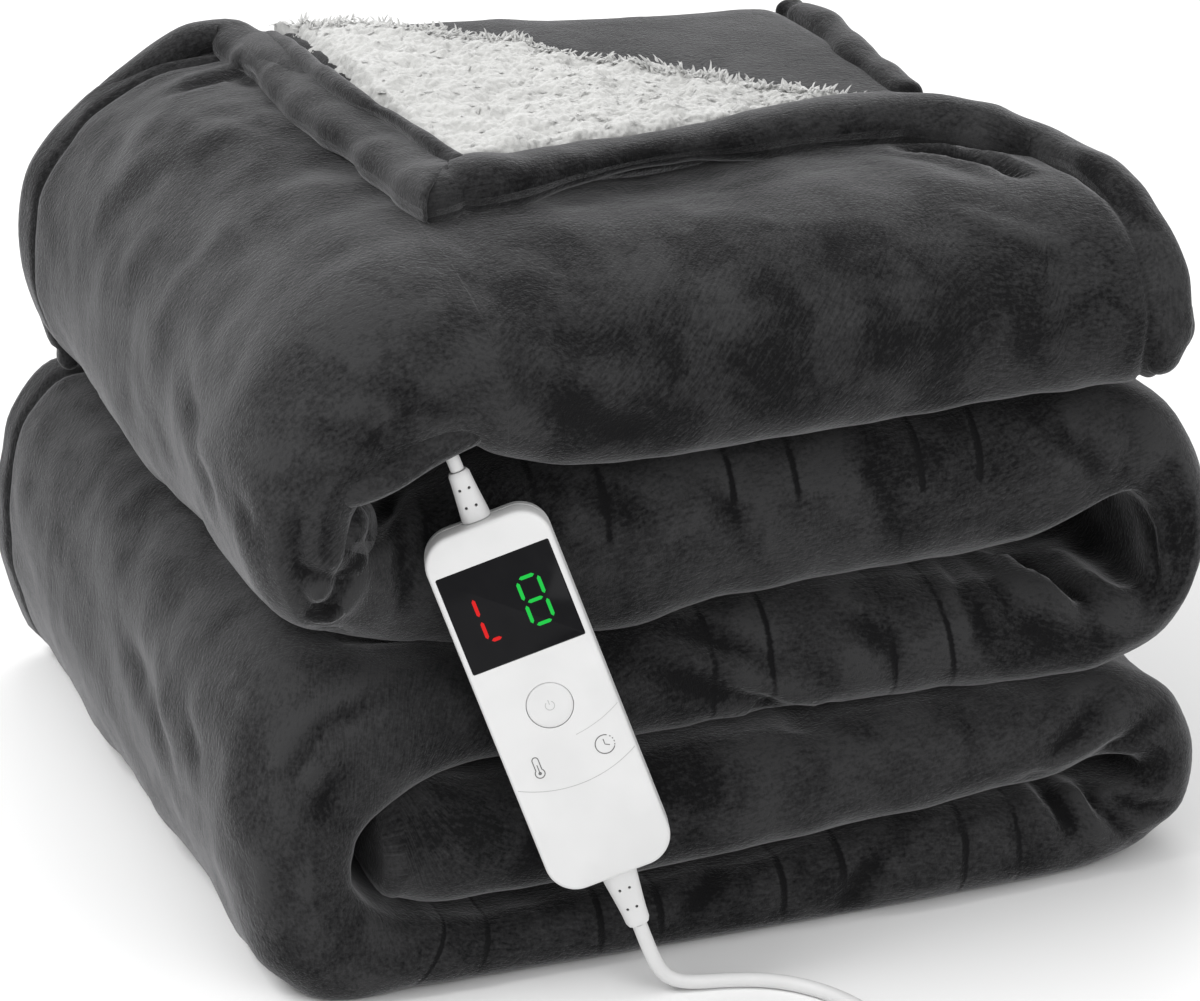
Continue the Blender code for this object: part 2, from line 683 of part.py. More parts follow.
def smooth_route(points, step):
    """Points at even steps along a smooth curve through a route's points."""
    corners = [Vector(point) for point in points]
    ends = [corners[0] * 2.0 - corners[1]] + corners + [corners[-1] * 2.0 - corners[-2]]
    fine = []
    for index in range(1, len(ends) - 2):
        before, start, stop, after = ends[index - 1:index + 3]
        for share in range(12):
            t = share / 12.0
            fine.append(0.5 * ((2.0 * start) + (stop - before) * t
                               + (2.0 * before - 5.0 * start + 4.0 * stop - after) * t * t
                               + (3.0 * start - before - 3.0 * stop + after) * t * t * t))
    fine.append(corners[-1])
    length = sum((b - a).length for a, b in zip(fine, fine[1:]))
    count = max(2, round(length / step))
    spots = [fine[0]]
    walked = 0.0
    for a, b in zip(fine, fine[1:]):
        piece = (b - a).length
        while walked + piece >= length * len(spots) / count and len(spots) < count:
            spots.append(a.lerp(b, (length * len(spots) / count - walked) / piece))
        walked += piece
    spots.append(fine[-1])
    return spots


def build_tube(name, points, radius, start=None, end=None):
    """A cord's tube along a route, with a straight bit to a given start or end."""
    spots = smooth_route(points, CORD_STEP * 2.0 * radius)
    spots = ([start] if start else []) + spots + ([end] if end else [])
    curve = bpy.data.curves.new(name, "CURVE")
    curve.dimensions = "3D"
    curve.bevel_depth = radius
    curve.bevel_resolution = 2
    curve.use_fill_caps = True
    spline = curve.splines.new("POLY")
    spline.points.add(len(spots) - 1)
    for spot, point in zip(spline.points, spots):
        spot.co = (*(point - PLAN_CENTRE), 1.0)
    curve.materials.append(CORD_WHITE)
    return add_object(name, curve)


def build_relief(name, sizes, matrix, end):
    """A tapered strain relief on one end of the case; end is 1 at its top and -1 at its bottom."""
    rings = []
    for share, flare in ((0.0, 1.0), (0.08, 0.97), (0.55, 0.5), (0.92, 0.06), (1.0, -0.10)):
        wide = 0.5 * (sizes["tip"] + (sizes["wide"] - sizes["tip"]) * flare)
        deep = wide * sizes["deep"] / sizes["wide"] + 0.0004
        height = end * (0.5 * CASE_LENGTH + GAP + sizes["length"] * share)
        ring = []
        for index in range(RELIEF_SEGMENTS):
            angle = 2.0 * math.pi * index / RELIEF_SEGMENTS
            depth = RELIEF_DEPTH + deep * math.sin(angle)
            ring.append(Vector((wide * math.cos(angle), depth, height)))
        rings.append([matrix @ point + PLAN_CENTRE for point in ring])
    relief = loft(name, rings, CORD_WHITE)
    shade(relief)


def relief_tip(matrix, sizes, end, further=0.0):
    """Where the cord comes out of a strain relief, or a point further on, before PLAN_CENTRE."""
    reach = 0.5 * CASE_LENGTH + GAP + sizes["length"] + GAP + further
    return matrix @ Vector((0.0, RELIEF_DEPTH, end * reach)) + PLAN_CENTRE


def build_coil():
    """The outer shape of the coiled cord, a turned ring."""
    profile = []
    corners = (
        (COIL_OUTER - COIL_ROUND, COIL_HEIGHT - COIL_ROUND, 90, 0),
        (COIL_OUTER - COIL_ROUND, COIL_ROUND, 0, -90),
        (COIL_INNER + COIL_ROUND, COIL_ROUND, -90, -180),
        (COIL_INNER + COIL_ROUND, COIL_HEIGHT - COIL_ROUND, 180, 90),
    )
    for middle, height, start, stop in corners:
        for index in range(4):
            angle = math.radians(start + (stop - start) * index / 3.0)
            reach = middle + COIL_ROUND * math.cos(angle)
            profile.append((reach, height + COIL_ROUND * math.sin(angle)))
    mesh = bmesh.new()
    rings = []
    centre = COIL_CENTRE - PLAN_CENTRE
    for index in range(COIL_SEGMENTS):
        swing = 2.0 * math.pi * index / COIL_SEGMENTS
        ring = []
        for reach, height in profile:
            spot = centre + Vector((reach * math.cos(swing), reach * math.sin(swing), height + GAP))
            ring.append(mesh.verts.new(spot))
        rings.append(ring)
    count = len(profile)
    for index, ring in enumerate(rings):
        other = rings[(index + 1) % COIL_SEGMENTS]
        for spot in range(count):
            after = (spot + 1) % count
            mesh.faces.new((ring[spot], ring[after], other[after], other[spot]))
    bmesh.ops.recalc_face_normals(mesh, faces=mesh.faces[:])
    coil = finish_mesh("cord_coil", mesh, CORD_WHITE)
    shade(coil)


def plug_matrix():
    """From the plug's own axes (blades towards +X) to the part's."""
    return Matrix.Translation(PLUG_CENTRE - PLAN_CENTRE) @ Matrix.Rotation(PLUG_TURN, 4, "Z")


def rounded_ring(x, wide, high, corner, steps=3):
    """A rounded rectangle across the plug's length."""
    return [Vector((x, y, z)) for y, z in rounded_outline(wide, high, corner, steps)]


def build_plug():
    """A two-blade mains plug with its strain relief."""
    matrix = plug_matrix()
    back = -0.5 * PLUG_LENGTH
    front = 0.5 * PLUG_LENGTH
    sections = [
        rounded_ring(back - PLUG_RELIEF, 0.0086, 0.0086, 0.0040),
        rounded_ring(back - 0.5 * PLUG_RELIEF, 0.0100, 0.0098, 0.0045),
        rounded_ring(back - 0.002, 0.0122, 0.0116, 0.0050),
        rounded_ring(back, 0.0190, 0.0150, 0.0050),
        rounded_ring(back + 0.005, 0.0232, 0.0182, 0.0055),
        rounded_ring(back + 0.014, PLUG_WIDE, PLUG_HIGH, 0.0055),
        rounded_ring(front - 0.003, PLUG_WIDE, PLUG_HIGH, 0.0050),
        rounded_ring(front - 0.0008, PLUG_WIDE - 0.0012, PLUG_HIGH - 0.0012, 0.0046),
        rounded_ring(front, PLUG_WIDE - 0.0032, PLUG_HIGH - 0.0032, 0.0038),
    ]
    placed = [[matrix @ point + PLAN_CENTRE for point in section] for section in sections]
    plug = loft("mains_plug", placed, CORD_WHITE)
    shade(plug)
    for name, side in (("plug_blade_left", 1.0), ("plug_blade_right", -1.0)):
        mesh = bmesh.new()
        bmesh.ops.create_cube(mesh, size=1.0)
        bmesh.ops.scale(mesh, verts=mesh.verts[:], vec=(BLADE_LENGTH, BLADE_THICK, BLADE_WIDE))
        place_x = front + GAP + 0.5 * BLADE_LENGTH
        place_y = side * 0.5 * BLADE_SPACING
        bmesh.ops.translate(mesh, verts=mesh.verts[:], vec=(place_x, place_y, 0.0))
        mesh.transform(matrix)
        finish_mesh(name, mesh, BLADE_METAL)


def build_socket():
    """The socket on the cloth, inside the upper fold, that takes the controller's lead."""
    mesh = bmesh.new()
    bmesh.ops.create_cube(mesh, size=1.0)
    bmesh.ops.scale(mesh, verts=mesh.verts[:], vec=SOCKET_SIZE)
    tilt = Matrix.Rotation(SOCKET_TILT, 4, "Y")
    mesh.transform(Matrix.Translation(SOCKET_CENTRE - PLAN_CENTRE) @ tilt)
    socket = finish_mesh("lead_socket", mesh, CORD_WHITE)
    bevel = socket.modifiers.new("rounded_edges", "BEVEL")
    bevel.width = SOCKET_BEVEL
    bevel.segments = 2


def build():
    """Everything, from the cloth to the plug."""
    build_blanket()
    build_sherpa()
    matrix = case_matrix()
    build_case(matrix)
    build_relief("top_strain_relief", TOP_RELIEF, matrix, 1.0)
    build_relief("bottom_strain_relief", BOTTOM_RELIEF, matrix, -1.0)
    lead_start = relief_tip(matrix, TOP_RELIEF, 1.0)
    lead_bend = relief_tip(matrix, TOP_RELIEF, 1.0, CORD_STRAIGHT)
    lead_end = SOCKET_CENTRE - Vector((0.0, 0.5 * SOCKET_SIZE[1] + GAP, 0.0))
    lead_route = (lead_bend,) + LEAD_ROUTE
    build_tube("controller_lead", lead_route, LEAD_RADIUS, start=lead_start, end=lead_end)
    build_socket()
    mains_start = relief_tip(matrix, BOTTOM_RELIEF, -1.0)
    mains_bend = relief_tip(matrix, BOTTOM_RELIEF, -1.0, CORD_STRAIGHT)
    build_tube("mains_cord", (mains_bend,) + MAINS_ROUTE, CORD_RADIUS, start=mains_start)
    build_coil()
    back = -0.5 * PLUG_LENGTH - PLUG_RELIEF - GAP
    tail_bend = plug_matrix() @ Vector((back - CORD_STRAIGHT, 0.0, 0.0)) + PLAN_CENTRE
    tail_end = plug_matrix() @ Vector((back, 0.0, 0.0)) + PLAN_CENTRE
    build_tube("cord_tail", TAIL_ROUTE + (tail_bend,), CORD_RADIUS, end=tail_end)
    build_plug()


build()
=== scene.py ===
"""Looks of the folded electric heated blanket with its wired hand controller.

Units are metres, +Z up, front towards -Y. Sizes that say "design frame" are given before
PLAN_CENTRE is taken off, as in the part's source.
"""
import math
import random

import bmesh
import bpy
import numpy as np
from mathutils import Matrix, Vector, noise
from mathutils.bvhtree import BVHTree


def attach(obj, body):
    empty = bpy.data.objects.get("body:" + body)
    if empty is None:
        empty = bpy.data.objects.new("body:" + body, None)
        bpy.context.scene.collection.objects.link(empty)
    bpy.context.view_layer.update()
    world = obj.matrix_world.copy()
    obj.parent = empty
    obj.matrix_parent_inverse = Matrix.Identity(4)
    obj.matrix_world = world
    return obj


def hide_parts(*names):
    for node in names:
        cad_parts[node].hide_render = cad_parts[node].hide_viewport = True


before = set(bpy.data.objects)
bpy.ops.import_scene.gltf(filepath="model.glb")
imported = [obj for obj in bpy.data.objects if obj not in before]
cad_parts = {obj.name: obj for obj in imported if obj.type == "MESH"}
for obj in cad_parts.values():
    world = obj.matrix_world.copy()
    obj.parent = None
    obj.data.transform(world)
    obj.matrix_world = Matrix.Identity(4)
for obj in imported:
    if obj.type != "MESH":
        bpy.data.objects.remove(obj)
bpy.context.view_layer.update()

MM = 0.001
PLAN_CENTRE = Vector((-0.0035, -0.0173, 0.0))
BODY = "blanket"
BUTTON_BODY = "power_button"

# ---------------------------------------------------------------- camera
IMAGE_WIDTH, IMAGE_HEIGHT = 1200.0, 1001.0
CAMERA_AZIMUTH = math.radians(-20.5)
CAMERA_ELEVATION = math.radians(22.0)
CAMERA_LENS = 150.0
CAMERA_SENSOR = 36.0
CAMERA_DISTANCE = 2.14
CAMERA_AIM = Vector((0.0058, 0.0, 0.1152))          # design frame

BACK = Vector((math.sin(CAMERA_AZIMUTH) * math.cos(CAMERA_ELEVATION),
               -math.cos(CAMERA_AZIMUTH) * math.cos(CAMERA_ELEVATION),
               math.sin(CAMERA_ELEVATION)))
RIGHT = Vector((math.cos(CAMERA_AZIMUTH), math.sin(CAMERA_AZIMUTH), 0.0))
UP = BACK.cross(RIGHT)
EYE = CAMERA_AIM + BACK * CAMERA_DISTANCE - PLAN_CENTRE


def new_object(name, data):
    """A named object in the scene."""
    thing = bpy.data.objects.new(name, data)
    bpy.context.scene.collection.objects.link(thing)
    return thing


def make_camera():
    """The camera at the photograph's viewing angle."""
    data = bpy.data.cameras.new("camera")
    data.lens = CAMERA_LENS
    data.sensor_width = CAMERA_SENSOR
    data.clip_start = 0.05
    data.clip_end = 20.0
    camera = new_object("camera", data)
    matrix = Matrix((RIGHT, UP, BACK)).transposed().to_4x4()
    matrix.translation = EYE
    camera.matrix_world = matrix
    bpy.context.scene.camera = camera


def pixel_ray(across, down):
    """Direction from the camera through a pixel of the 1200 x 1001 photograph."""
    focal = IMAGE_WIDTH * CAMERA_LENS / CAMERA_SENSOR
    aside = (across - 0.5 * IMAGE_WIDTH) / focal
    above = (0.5 * IMAGE_HEIGHT - down) / focal
    return (RIGHT * aside + UP * above - BACK).normalized()


make_camera()


# ---------------------------------------------------------------- small helpers
def spread(start, end, count):
    """count values from start to end, both included."""
    return [start + (end - start) * index / (count - 1) for index in range(count)]


def smooth_share(value, start, end):
    """0 before start, 1 after end, smooth between."""
    share = min(1.0, max(0.0, (value - start) / (end - start)))
    return share * share * (3.0 - 2.0 * share)


def add_object(name, data, body=BODY):
    """A named object that rides on a body."""
    thing = new_object(name, data)
    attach(thing, body)
    return thing


def mesh_object(name, mesh, material, body=BODY, sharp=35.0):
    """Store a bmesh as a smooth-shaded object."""
    bmesh.ops.recalc_face_normals(mesh, faces=mesh.faces[:])
    data = bpy.data.meshes.new(name)
    mesh.to_mesh(data)
    mesh.free()
    data.materials.append(material)
    data.shade_smooth()
    data.set_sharp_from_angle(angle=math.radians(sharp))
    return add_object(name, data, body)


def bridge(mesh, ring, other):
    """Add a band of faces between two rings of vertices."""
    count = len(ring)
    for index in range(count):
        after = (index + 1) % count
        mesh.faces.new((ring[index], ring[after], other[after], other[index]))


def join_rings(mesh, rings):
    """Add bands of faces through rings of vertices, and cap both ends."""
    for ring, other in zip(rings, rings[1:]):
        bridge(mesh, ring, other)
    mesh.faces.new(rings[0])
    mesh.faces.new(rings[-1])


def ring_mesh(rings):
    """A capped bmesh through rings of equal point counts."""
    mesh = bmesh.new()
    join_rings(mesh, [[mesh.verts.new(point) for point in ring] for ring in rings])
    return mesh


def read_values(items, name, size=1):
    """A value of all items as an array, with a row for each where it is a vector."""
    values = np.empty(len(items) * size)
    items.foreach_get(name, values)
    return values.reshape(-1, size) if size > 1 else values


# ---------------------------------------------------------------- materials
MIX_FIRST, MIX_SECOND, MIX_RESULT = 6, 7, 2     # a mix node's sockets for colours


class Nodes:
    """A material's node tree, with short calls for what the finishes need."""

    def __init__(self, name, colour, roughness, **sockets):
        self.material = bpy.data.materials.new(name)
        self.material.use_nodes = True
        self.tree = self.material.node_tree
        self.shader = self.tree.nodes["Principled BSDF"]
        self.shader.inputs["Base Color"].default_value = (*colour, 1.0)
        self.shader.inputs["Roughness"].default_value = roughness
        self.material.diffuse_color = (*colour, 1.0)
        for socket, value in sockets.items():
            self.shader.inputs[socket.replace("_", " ")].default_value = value
        self.place = self.add("ShaderNodeTexCoord").outputs["Object"]

    def add(self, kind, inputs=None, **settings):
        node = self.tree.nodes.new(kind)
        for name, value in settings.items():
            setattr(node, name, value)
        for name, value in (inputs or {}).items():
            node.inputs[name].default_value = value
        return node

    def link(self, source, target):
        self.tree.links.new(source, target)

    def feed(self, socket, value):
        """Put a colour, a number or another node's output on a socket."""
        if isinstance(value, tuple):
            socket.default_value = (*value, 1.0)
        elif isinstance(value, (int, float)):
            socket.default_value = value
        elif value is not None:
            self.link(value, socket)

    def noise(self, scale, detail=3.0, rough=0.5, distortion=0.0, stretch=None, source=None):
        node = self.add("ShaderNodeTexNoise", {"Scale": scale, "Detail": detail,
                                               "Roughness": rough, "Distortion": distortion})
        source = source or self.place
        if stretch:
            mapping = self.add("ShaderNodeMapping", {"Scale": stretch})
            self.link(source, mapping.inputs["Vector"])
            source = mapping.outputs["Vector"]
        self.link(source, node.inputs["Vector"])
        return node.outputs["Fac"]

    def range(self, value, low, high, to_low=0.0, to_high=1.0, smooth=False):
        node = self.add("ShaderNodeMapRange", {"From Min": low, "From Max": high,
                                               "To Min": to_low, "To Max": to_high},
                        interpolation_type="SMOOTHSTEP" if smooth else "LINEAR")
        self.link(value, node.inputs["Value"])
        return node.outputs["Result"]

    def math(self, operation, first, second=None):
        node = self.add("ShaderNodeMath", operation=operation)
        self.feed(node.inputs[0], first)
        self.feed(node.inputs[1], second)
        return node.outputs["Value"]

    def mix(self, share, first, second):
        node = self.add("ShaderNodeMix", data_type="RGBA")
        self.link(share, node.inputs["Factor"])
        self.feed(node.inputs[MIX_FIRST], first)
        self.feed(node.inputs[MIX_SECOND], second)
        return node.outputs[MIX_RESULT]

    def colour(self, source):
        self.link(source, self.shader.inputs["Base Color"])

    def rough(self, source):
        self.link(source, self.shader.inputs["Roughness"])

    def bump(self, height, distance, strength, under=None):
        node = self.add("ShaderNodeBump", {"Distance": distance, "Strength": strength})
        self.link(height, node.inputs["Height"])
        if under is not None:
            self.link(under, node.inputs["Normal"])
        self.link(node.outputs["Normal"], self.shader.inputs["Normal"])
        return node.outputs["Normal"]


STITCH_PERIOD = 0.0790          # of the stitched channels along the strip
STITCH_SECOND = 0.67            # where the second line stands in a period
STITCH_LINES = (0.0, STITCH_SECOND, 1.0)
STITCH_HALF = 0.0021            # half a stitch line's width


def make_flannel():
    """Dark grey plush flannel: brushed nap in light and dark strokes, short pile, stitches,
    painted shade.
    """
    look = Nodes("dark_grey_flannel", (0.020, 0.020, 0.021), 0.95, Sheen_Weight=0.85,
                 Sheen_Roughness=0.36, Sheen_Tint=(0.42, 0.42, 0.43, 1.0),
                 Specular_IOR_Level=0.08)
    strip = look.add("ShaderNodeAttribute", attribute_name="strip").outputs["Vector"]
    parts = look.add("ShaderNodeSeparateXYZ")
    look.link(strip, parts.inputs["Vector"])
    along, stitched = parts.outputs["X"], parts.outputs["Z"]
    broad = look.noise(9.0, 3.0, 0.55, 0.6)
    brushed = look.noise(34.0, 3.0, 0.5, 0.5)
    ripples = look.noise(560.0, 2.0, 0.6, 0.4, (0.42, 1.0, 0.0), strip)
    pile = look.math("ADD", look.math("MULTIPLY", look.noise(640.0, 2.0, 0.6), 0.5),
                     look.math("MULTIPLY", ripples, 0.5))
    fine = look.noise(1500.0, 2.0, 0.6)
    nap = look.math("ADD", look.range(broad, 0.36, 0.64, 0.0, 0.55, True),
                    look.range(brushed, 0.38, 0.62, 0.0, 0.45, True))
    grain = look.range(pile, 0.33, 0.67, -0.42, 0.42)
    shade = look.math("ADD", nap, grain)
    turn = look.math("FRACT", look.math("DIVIDE", along, STITCH_PERIOD))
    lines = None
    for middle in STITCH_LINES:
        away = look.math("ABSOLUTE", look.math("SUBTRACT", turn, middle))
        line = look.range(away, 0.0, STITCH_HALF / STITCH_PERIOD, 1.0, 0.0, True)
        lines = line if lines is None else look.math("MAXIMUM", lines, line)
    groove = look.math("MULTIPLY", look.math("MULTIPLY", lines, stitched),
                       look.range(brushed, 0.38, 0.55, 0.15, 1.0))
    # Painted shade along the stitch grooves.
    shade = look.math("SUBTRACT", shade, look.math("MULTIPLY", groove, 1.4))
    # Painted shade in creases and inside the bends, and painted light on ridges, from the deep
    # attribute.
    deep = look.add("ShaderNodeAttribute", attribute_name="deep").outputs["Fac"]
    shade = look.math("SUBTRACT", shade, look.math("MULTIPLY", deep, 0.8))
    look.colour(look.mix(shade, (0.0070, 0.0070, 0.0074), (0.038, 0.038, 0.039)))
    first = look.bump(look.math("MULTIPLY", groove, -1.0), 0.0004, 0.6)
    dents = look.noise(85.0, 1.0, 0.4)
    second = look.bump(dents, 0.0012, 0.3, first)
    height = look.math("ADD", pile, look.math("MULTIPLY", fine, 0.5))
    look.bump(height, 0.0008, 0.75, second)
    return look.material


def make_sherpa():
    """White sherpa fleece."""
    look = Nodes("white_sherpa", (0.80, 0.79, 0.77), 0.92, Sheen_Weight=0.35,
                 Sheen_Roughness=0.5, Sheen_Tint=(1.0, 1.0, 1.0, 1.0), Specular_IOR_Level=0.15,
                 Subsurface_Weight=0.6, Subsurface_Radius=(0.003, 0.003, 0.003),
                 Subsurface_Scale=1.0)
    tufts = look.noise(420.0, 3.0, 0.65)
    broad = look.noise(26.0, 2.0)
    shade = look.math("ADD", look.range(tufts, 0.3, 0.7, 0.0, 0.6),
                      look.range(broad, 0.3, 0.7, 0.0, 0.4))
    look.colour(look.mix(shade, (0.38, 0.38, 0.37), (0.53, 0.53, 0.52)))
    look.bump(tufts, 0.0010, 0.7)
    return look.material


def make_plastic(name, colour, roughness, grain=0.12):
    """Moulded plastic with a very fine texture and slightly uneven gloss."""
    look = Nodes(name, colour, roughness, Specular_IOR_Level=0.45)
    cloud = look.noise(45.0, 2.0)
    fine = look.noise(2600.0, 2.0)
    lower = tuple(0.955 * part for part in colour)
    look.colour(look.mix(look.range(cloud, 0.35, 0.65), lower, colour))
    look.rough(look.range(fine, 0.3, 0.7, roughness - 0.05, roughness + 0.07))
    look.bump(fine, 0.00006, grain)
    return look.material


def make_window():
    """Glossy black display window, with fine smears."""
    look = Nodes("black_window", (0.006, 0.006, 0.007), 0.10, Specular_IOR_Level=0.10)
    smear = look.noise(60.0, 3.0, 0.6, 1.0)
    look.rough(look.range(smear, 0.3, 0.7, 0.07, 0.16))
    look.colour(look.mix(smear, (0.004, 0.004, 0.005), (0.009, 0.009, 0.010)))
    return look.material


def make_glow(name, colour, strength):
    """A lit segment of the display."""
    look = Nodes(name, (0.01, 0.01, 0.01), 0.4, Specular_IOR_Level=0.05,
                 Emission_Color=(*colour, 1.0), Emission_Strength=strength)
    cloud = look.noise(900.0, 1.0)
    look.rough(look.range(cloud, 0.3, 0.7, 0.35, 0.5))
    return look.material


def make_metal():
    """Nickel-plated brass of the plug's blades."""
    look = Nodes("plug_blade_metal", (0.72, 0.70, 0.62), 0.26, Metallic=1.0)
    brushed = look.noise(300.0, 3.0, 0.5, 0.0, (1.0, 6.0, 6.0))
    look.rough(look.range(brushed, 0.3, 0.7, 0.2, 0.36))
    look.bump(brushed, 0.00004, 0.4)
    return look.material


FLANNEL = make_flannel()
SHERPA = make_sherpa()
CASE_WHITE = make_plastic("white_plastic", (0.70, 0.70, 0.70), 0.36)
KEY_WHITE = make_plastic("white_key", (0.68, 0.68, 0.68), 0.40)
CORD_WHITE = make_plastic("white_cord", (0.70, 0.70, 0.70), 0.46, 0.3)
PRINT_GREY = make_plastic("printed_grey", (0.12, 0.12, 0.12), 0.5)
GROOVE_GREY = make_plastic("groove_grey", (0.42, 0.42, 0.42), 0.6)
# Painted shade for the bottoms of the strain reliefs' holes.
HOLE_SHADE = make_plastic("hole_painted_shade", (0.05, 0.05, 0.05), 0.7)
WINDOW_BLACK = make_window()
GLOW_RED = make_glow("display_red", (1.0, 0.012, 0.012), 0.75)
GLOW_GREEN = make_glow("display_green", (0.01, 0.85, 0.09), 0.70)
BLADE_METAL = make_metal()


# ---------------------------------------------------------------- controller's place
CASE_WIDTH = 0.0510
CASE_LENGTH = 0.1525
CASE_DEPTH = 0.0200
CASE_CORNER = 0.0125
CASE_PARTING = 0.0105
GAP = 0.0003
CASE_TURN = math.radians(-14.0)
CASE_LEAN = math.radians(-12.0)
CASE_ROLL = math.radians(-17.8)
CASE_FACE = Vector((-0.0933, -0.2090, 0.1243))      # middle of its face, design frame
RELIEF_DEPTH = 0.0100
TOP_RELIEF = dict(length=0.0200, wide=0.0120, tip=0.0088, deep=0.0100)
BOTTOM_RELIEF = dict(length=0.0240, wide=0.0150, tip=0.0100, deep=0.0105)


def case_matrix():
    """From the case's own axes (face towards -Y, length along Z) to the frame."""
    turn = Matrix.Rotation(CASE_ROLL, 4, "Y") @ Matrix.Rotation(CASE_LEAN, 4, "X")
    turn = turn @ Matrix.Rotation(CASE_TURN, 4, "Z")
    return Matrix.Translation(CASE_FACE - PLAN_CENTRE) @ turn


CASE = case_matrix()

# ---------------------------------------------------------------- cords
CORD_RADIUS = 0.0030
LEAD_RADIUS = 0.00275
CORD_STRAIGHT = 0.0040
COIL_CENTRE = Vector((-0.0330, -0.3450, 0.0))       # design frame
COIL_INNER_TURN = 0.0262        # radii of the innermost and outermost turns' centrelines
COIL_OUTER_TURN = 0.0448
COIL_PITCH = 0.0062
COIL_BESIDE = 0.0511            # radius where the cord meets and leaves the coil
COIL_LEVELS = (0.0031, 0.0093)
COIL_TURNS = 7.25
COIL_JOIN = 0.15                # turns over which the cord joins the outermost turn
COIL_CLIMB = (3.15, 3.50)       # turns between which it climbs to the upper level
COIL_DROP = 0.14                # turns over which it rolls off at the end
COIL_STEPS = 26                 # points a turn
CORD_STEP = 0.0035              # between a cord's points where it isn't coiled
ROUTE_STEPS = 12                # between two points of a route, before even steps are taken
PLUG_CENTRE = Vector((-0.1102, -0.3724, 0.0102))    # design frame
PLUG_TURN = math.radians(160.0)
PLUG_LENGTH = 0.0300
PLUG_WIDE = 0.0250
PLUG_HIGH = 0.0196
PLUG_RELIEF = 0.0220            # length of its ribbed strain relief
PLUG_RIBS = 5
PLUG_RIB_PITCH = 0.0040
BLADE_LENGTH = 0.0165
BLADE_WIDE = 0.0063
BLADE_THICK = 0.0015
BLADE_SPACING = 0.0127
BLADE_BEVEL = 0.0004
SOCKET_SIZE_Y = 0.0340
SOCKET_CENTRE = Vector((-0.1372, 0.0700, 0.1970))   # design frame

# Routes in the design frame, as in the part's source; the lead leaves its guard more softly.
LEAD_ROUTE = (
    (-0.1214, -0.1777, 0.2196),
    (-0.1225, -0.1755, 0.2219),
    (-0.1240, -0.1710, 0.2234),
    (-0.1258, -0.1635, 0.2236),
    (-0.1278, -0.1540, 0.2226),
    (-0.1302, -0.1400, 0.2202),
    (-0.1328, -0.1220, 0.2165),
    (-0.1348, -0.1000, 0.2122),
    (-0.1362, -0.0750, 0.2080),
    (-0.1370, -0.0480, 0.2040),
    (-0.1372, -0.0200, 0.2008),
    (-0.1372, 0.0080, 0.1986),
    (-0.1372, 0.0320, 0.1974),
    (-0.1372, 0.0480, 0.1970),
)
MAINS_ROUTE = (
    (-0.0585, -0.2215, 0.0238),
    (-0.0563, -0.2232, 0.0172),
    (-0.0540, -0.2243, 0.0118),
    (-0.0505, -0.2254, 0.0071),
    (-0.0448, -0.2266, 0.0042),
    (-0.0370, -0.2282, 0.0033),
    (-0.0260, -0.2305, 0.0031),
    (-0.0140, -0.2350, 0.0031),
    (-0.0030, -0.2430, 0.0031),
    (0.0060, -0.2545, 0.0031),
    (0.0125, -0.2690, 0.0031),
    (0.0162, -0.2860, 0.0031),
    (0.0178, -0.3040, 0.0031),
    (0.0181, -0.3240, 0.0031),
    (0.0181, -0.3450, 0.0031),
)
TAIL_ROUTE = (
    (-0.0330, -0.3961, 0.0031),
    (-0.0420, -0.3960, 0.0033),
    (-0.0500, -0.3947, 0.0044),
    (-0.0580, -0.3923, 0.0066),
    (-0.0650, -0.3893, 0.0090),
)


def smooth_route(points, step):
    """Points at even steps along a smooth curve through a route's points."""
    corners = [Vector(point) for point in points]
    ends = [corners[0] * 2.0 - corners[1]] + corners + [corners[-1] * 2.0 - corners[-2]]
    fine = []
    for index in range(1, len(ends) - 2):
        before, start, stop, after = ends[index - 1:index + 3]
        for share in range(ROUTE_STEPS):
            t = share / ROUTE_STEPS
            fine.append(0.5 * ((2.0 * start) + (stop - before) * t
                               + (2.0 * before - 5.0 * start + 4.0 * stop - after) * t * t
                               + (3.0 * start - before - 3.0 * stop + after) * t * t * t))
    fine.append(corners[-1])
    length = sum((b - a).length for a, b in zip(fine, fine[1:]))
    count = max(2, round(length / step))
    spots = [fine[0]]
    walked = 0.0
    for a, b in zip(fine, fine[1:]):
        piece = (b - a).length
        while walked + piece >= length * len(spots) / count and len(spots) < count:
            spots.append(a.lerp(b, (length * len(spots) / count - walked) / piece))
        walked += piece
    spots.append(fine[-1])
    return spots


def cord_curve(name, points, radius):
    """A cord's curve through points of the design frame."""
    curve = bpy.data.curves.new(name, "CURVE")
    curve.dimensions = "3D"
    curve.bevel_depth = radius
    curve.bevel_resolution = 4
    curve.use_fill_caps = True
    spline = curve.splines.new("POLY")
    spline.points.add(len(points) - 1)
    for spot, point in zip(spline.points, points):
        spot.co = (*(point - PLAN_CENTRE), 1.0)
    curve.materials.append(CORD_WHITE)
    return add_object(name, curve)


def relief_tip(sizes, end, further=0.0):
    """Where the cord comes out of a strain relief, or a point further on, design frame."""
    reach = 0.5 * CASE_LENGTH + GAP + sizes["length"] + GAP + further
    return CASE @ Vector((0.0, RELIEF_DEPTH, end * reach)) + PLAN_CENTRE


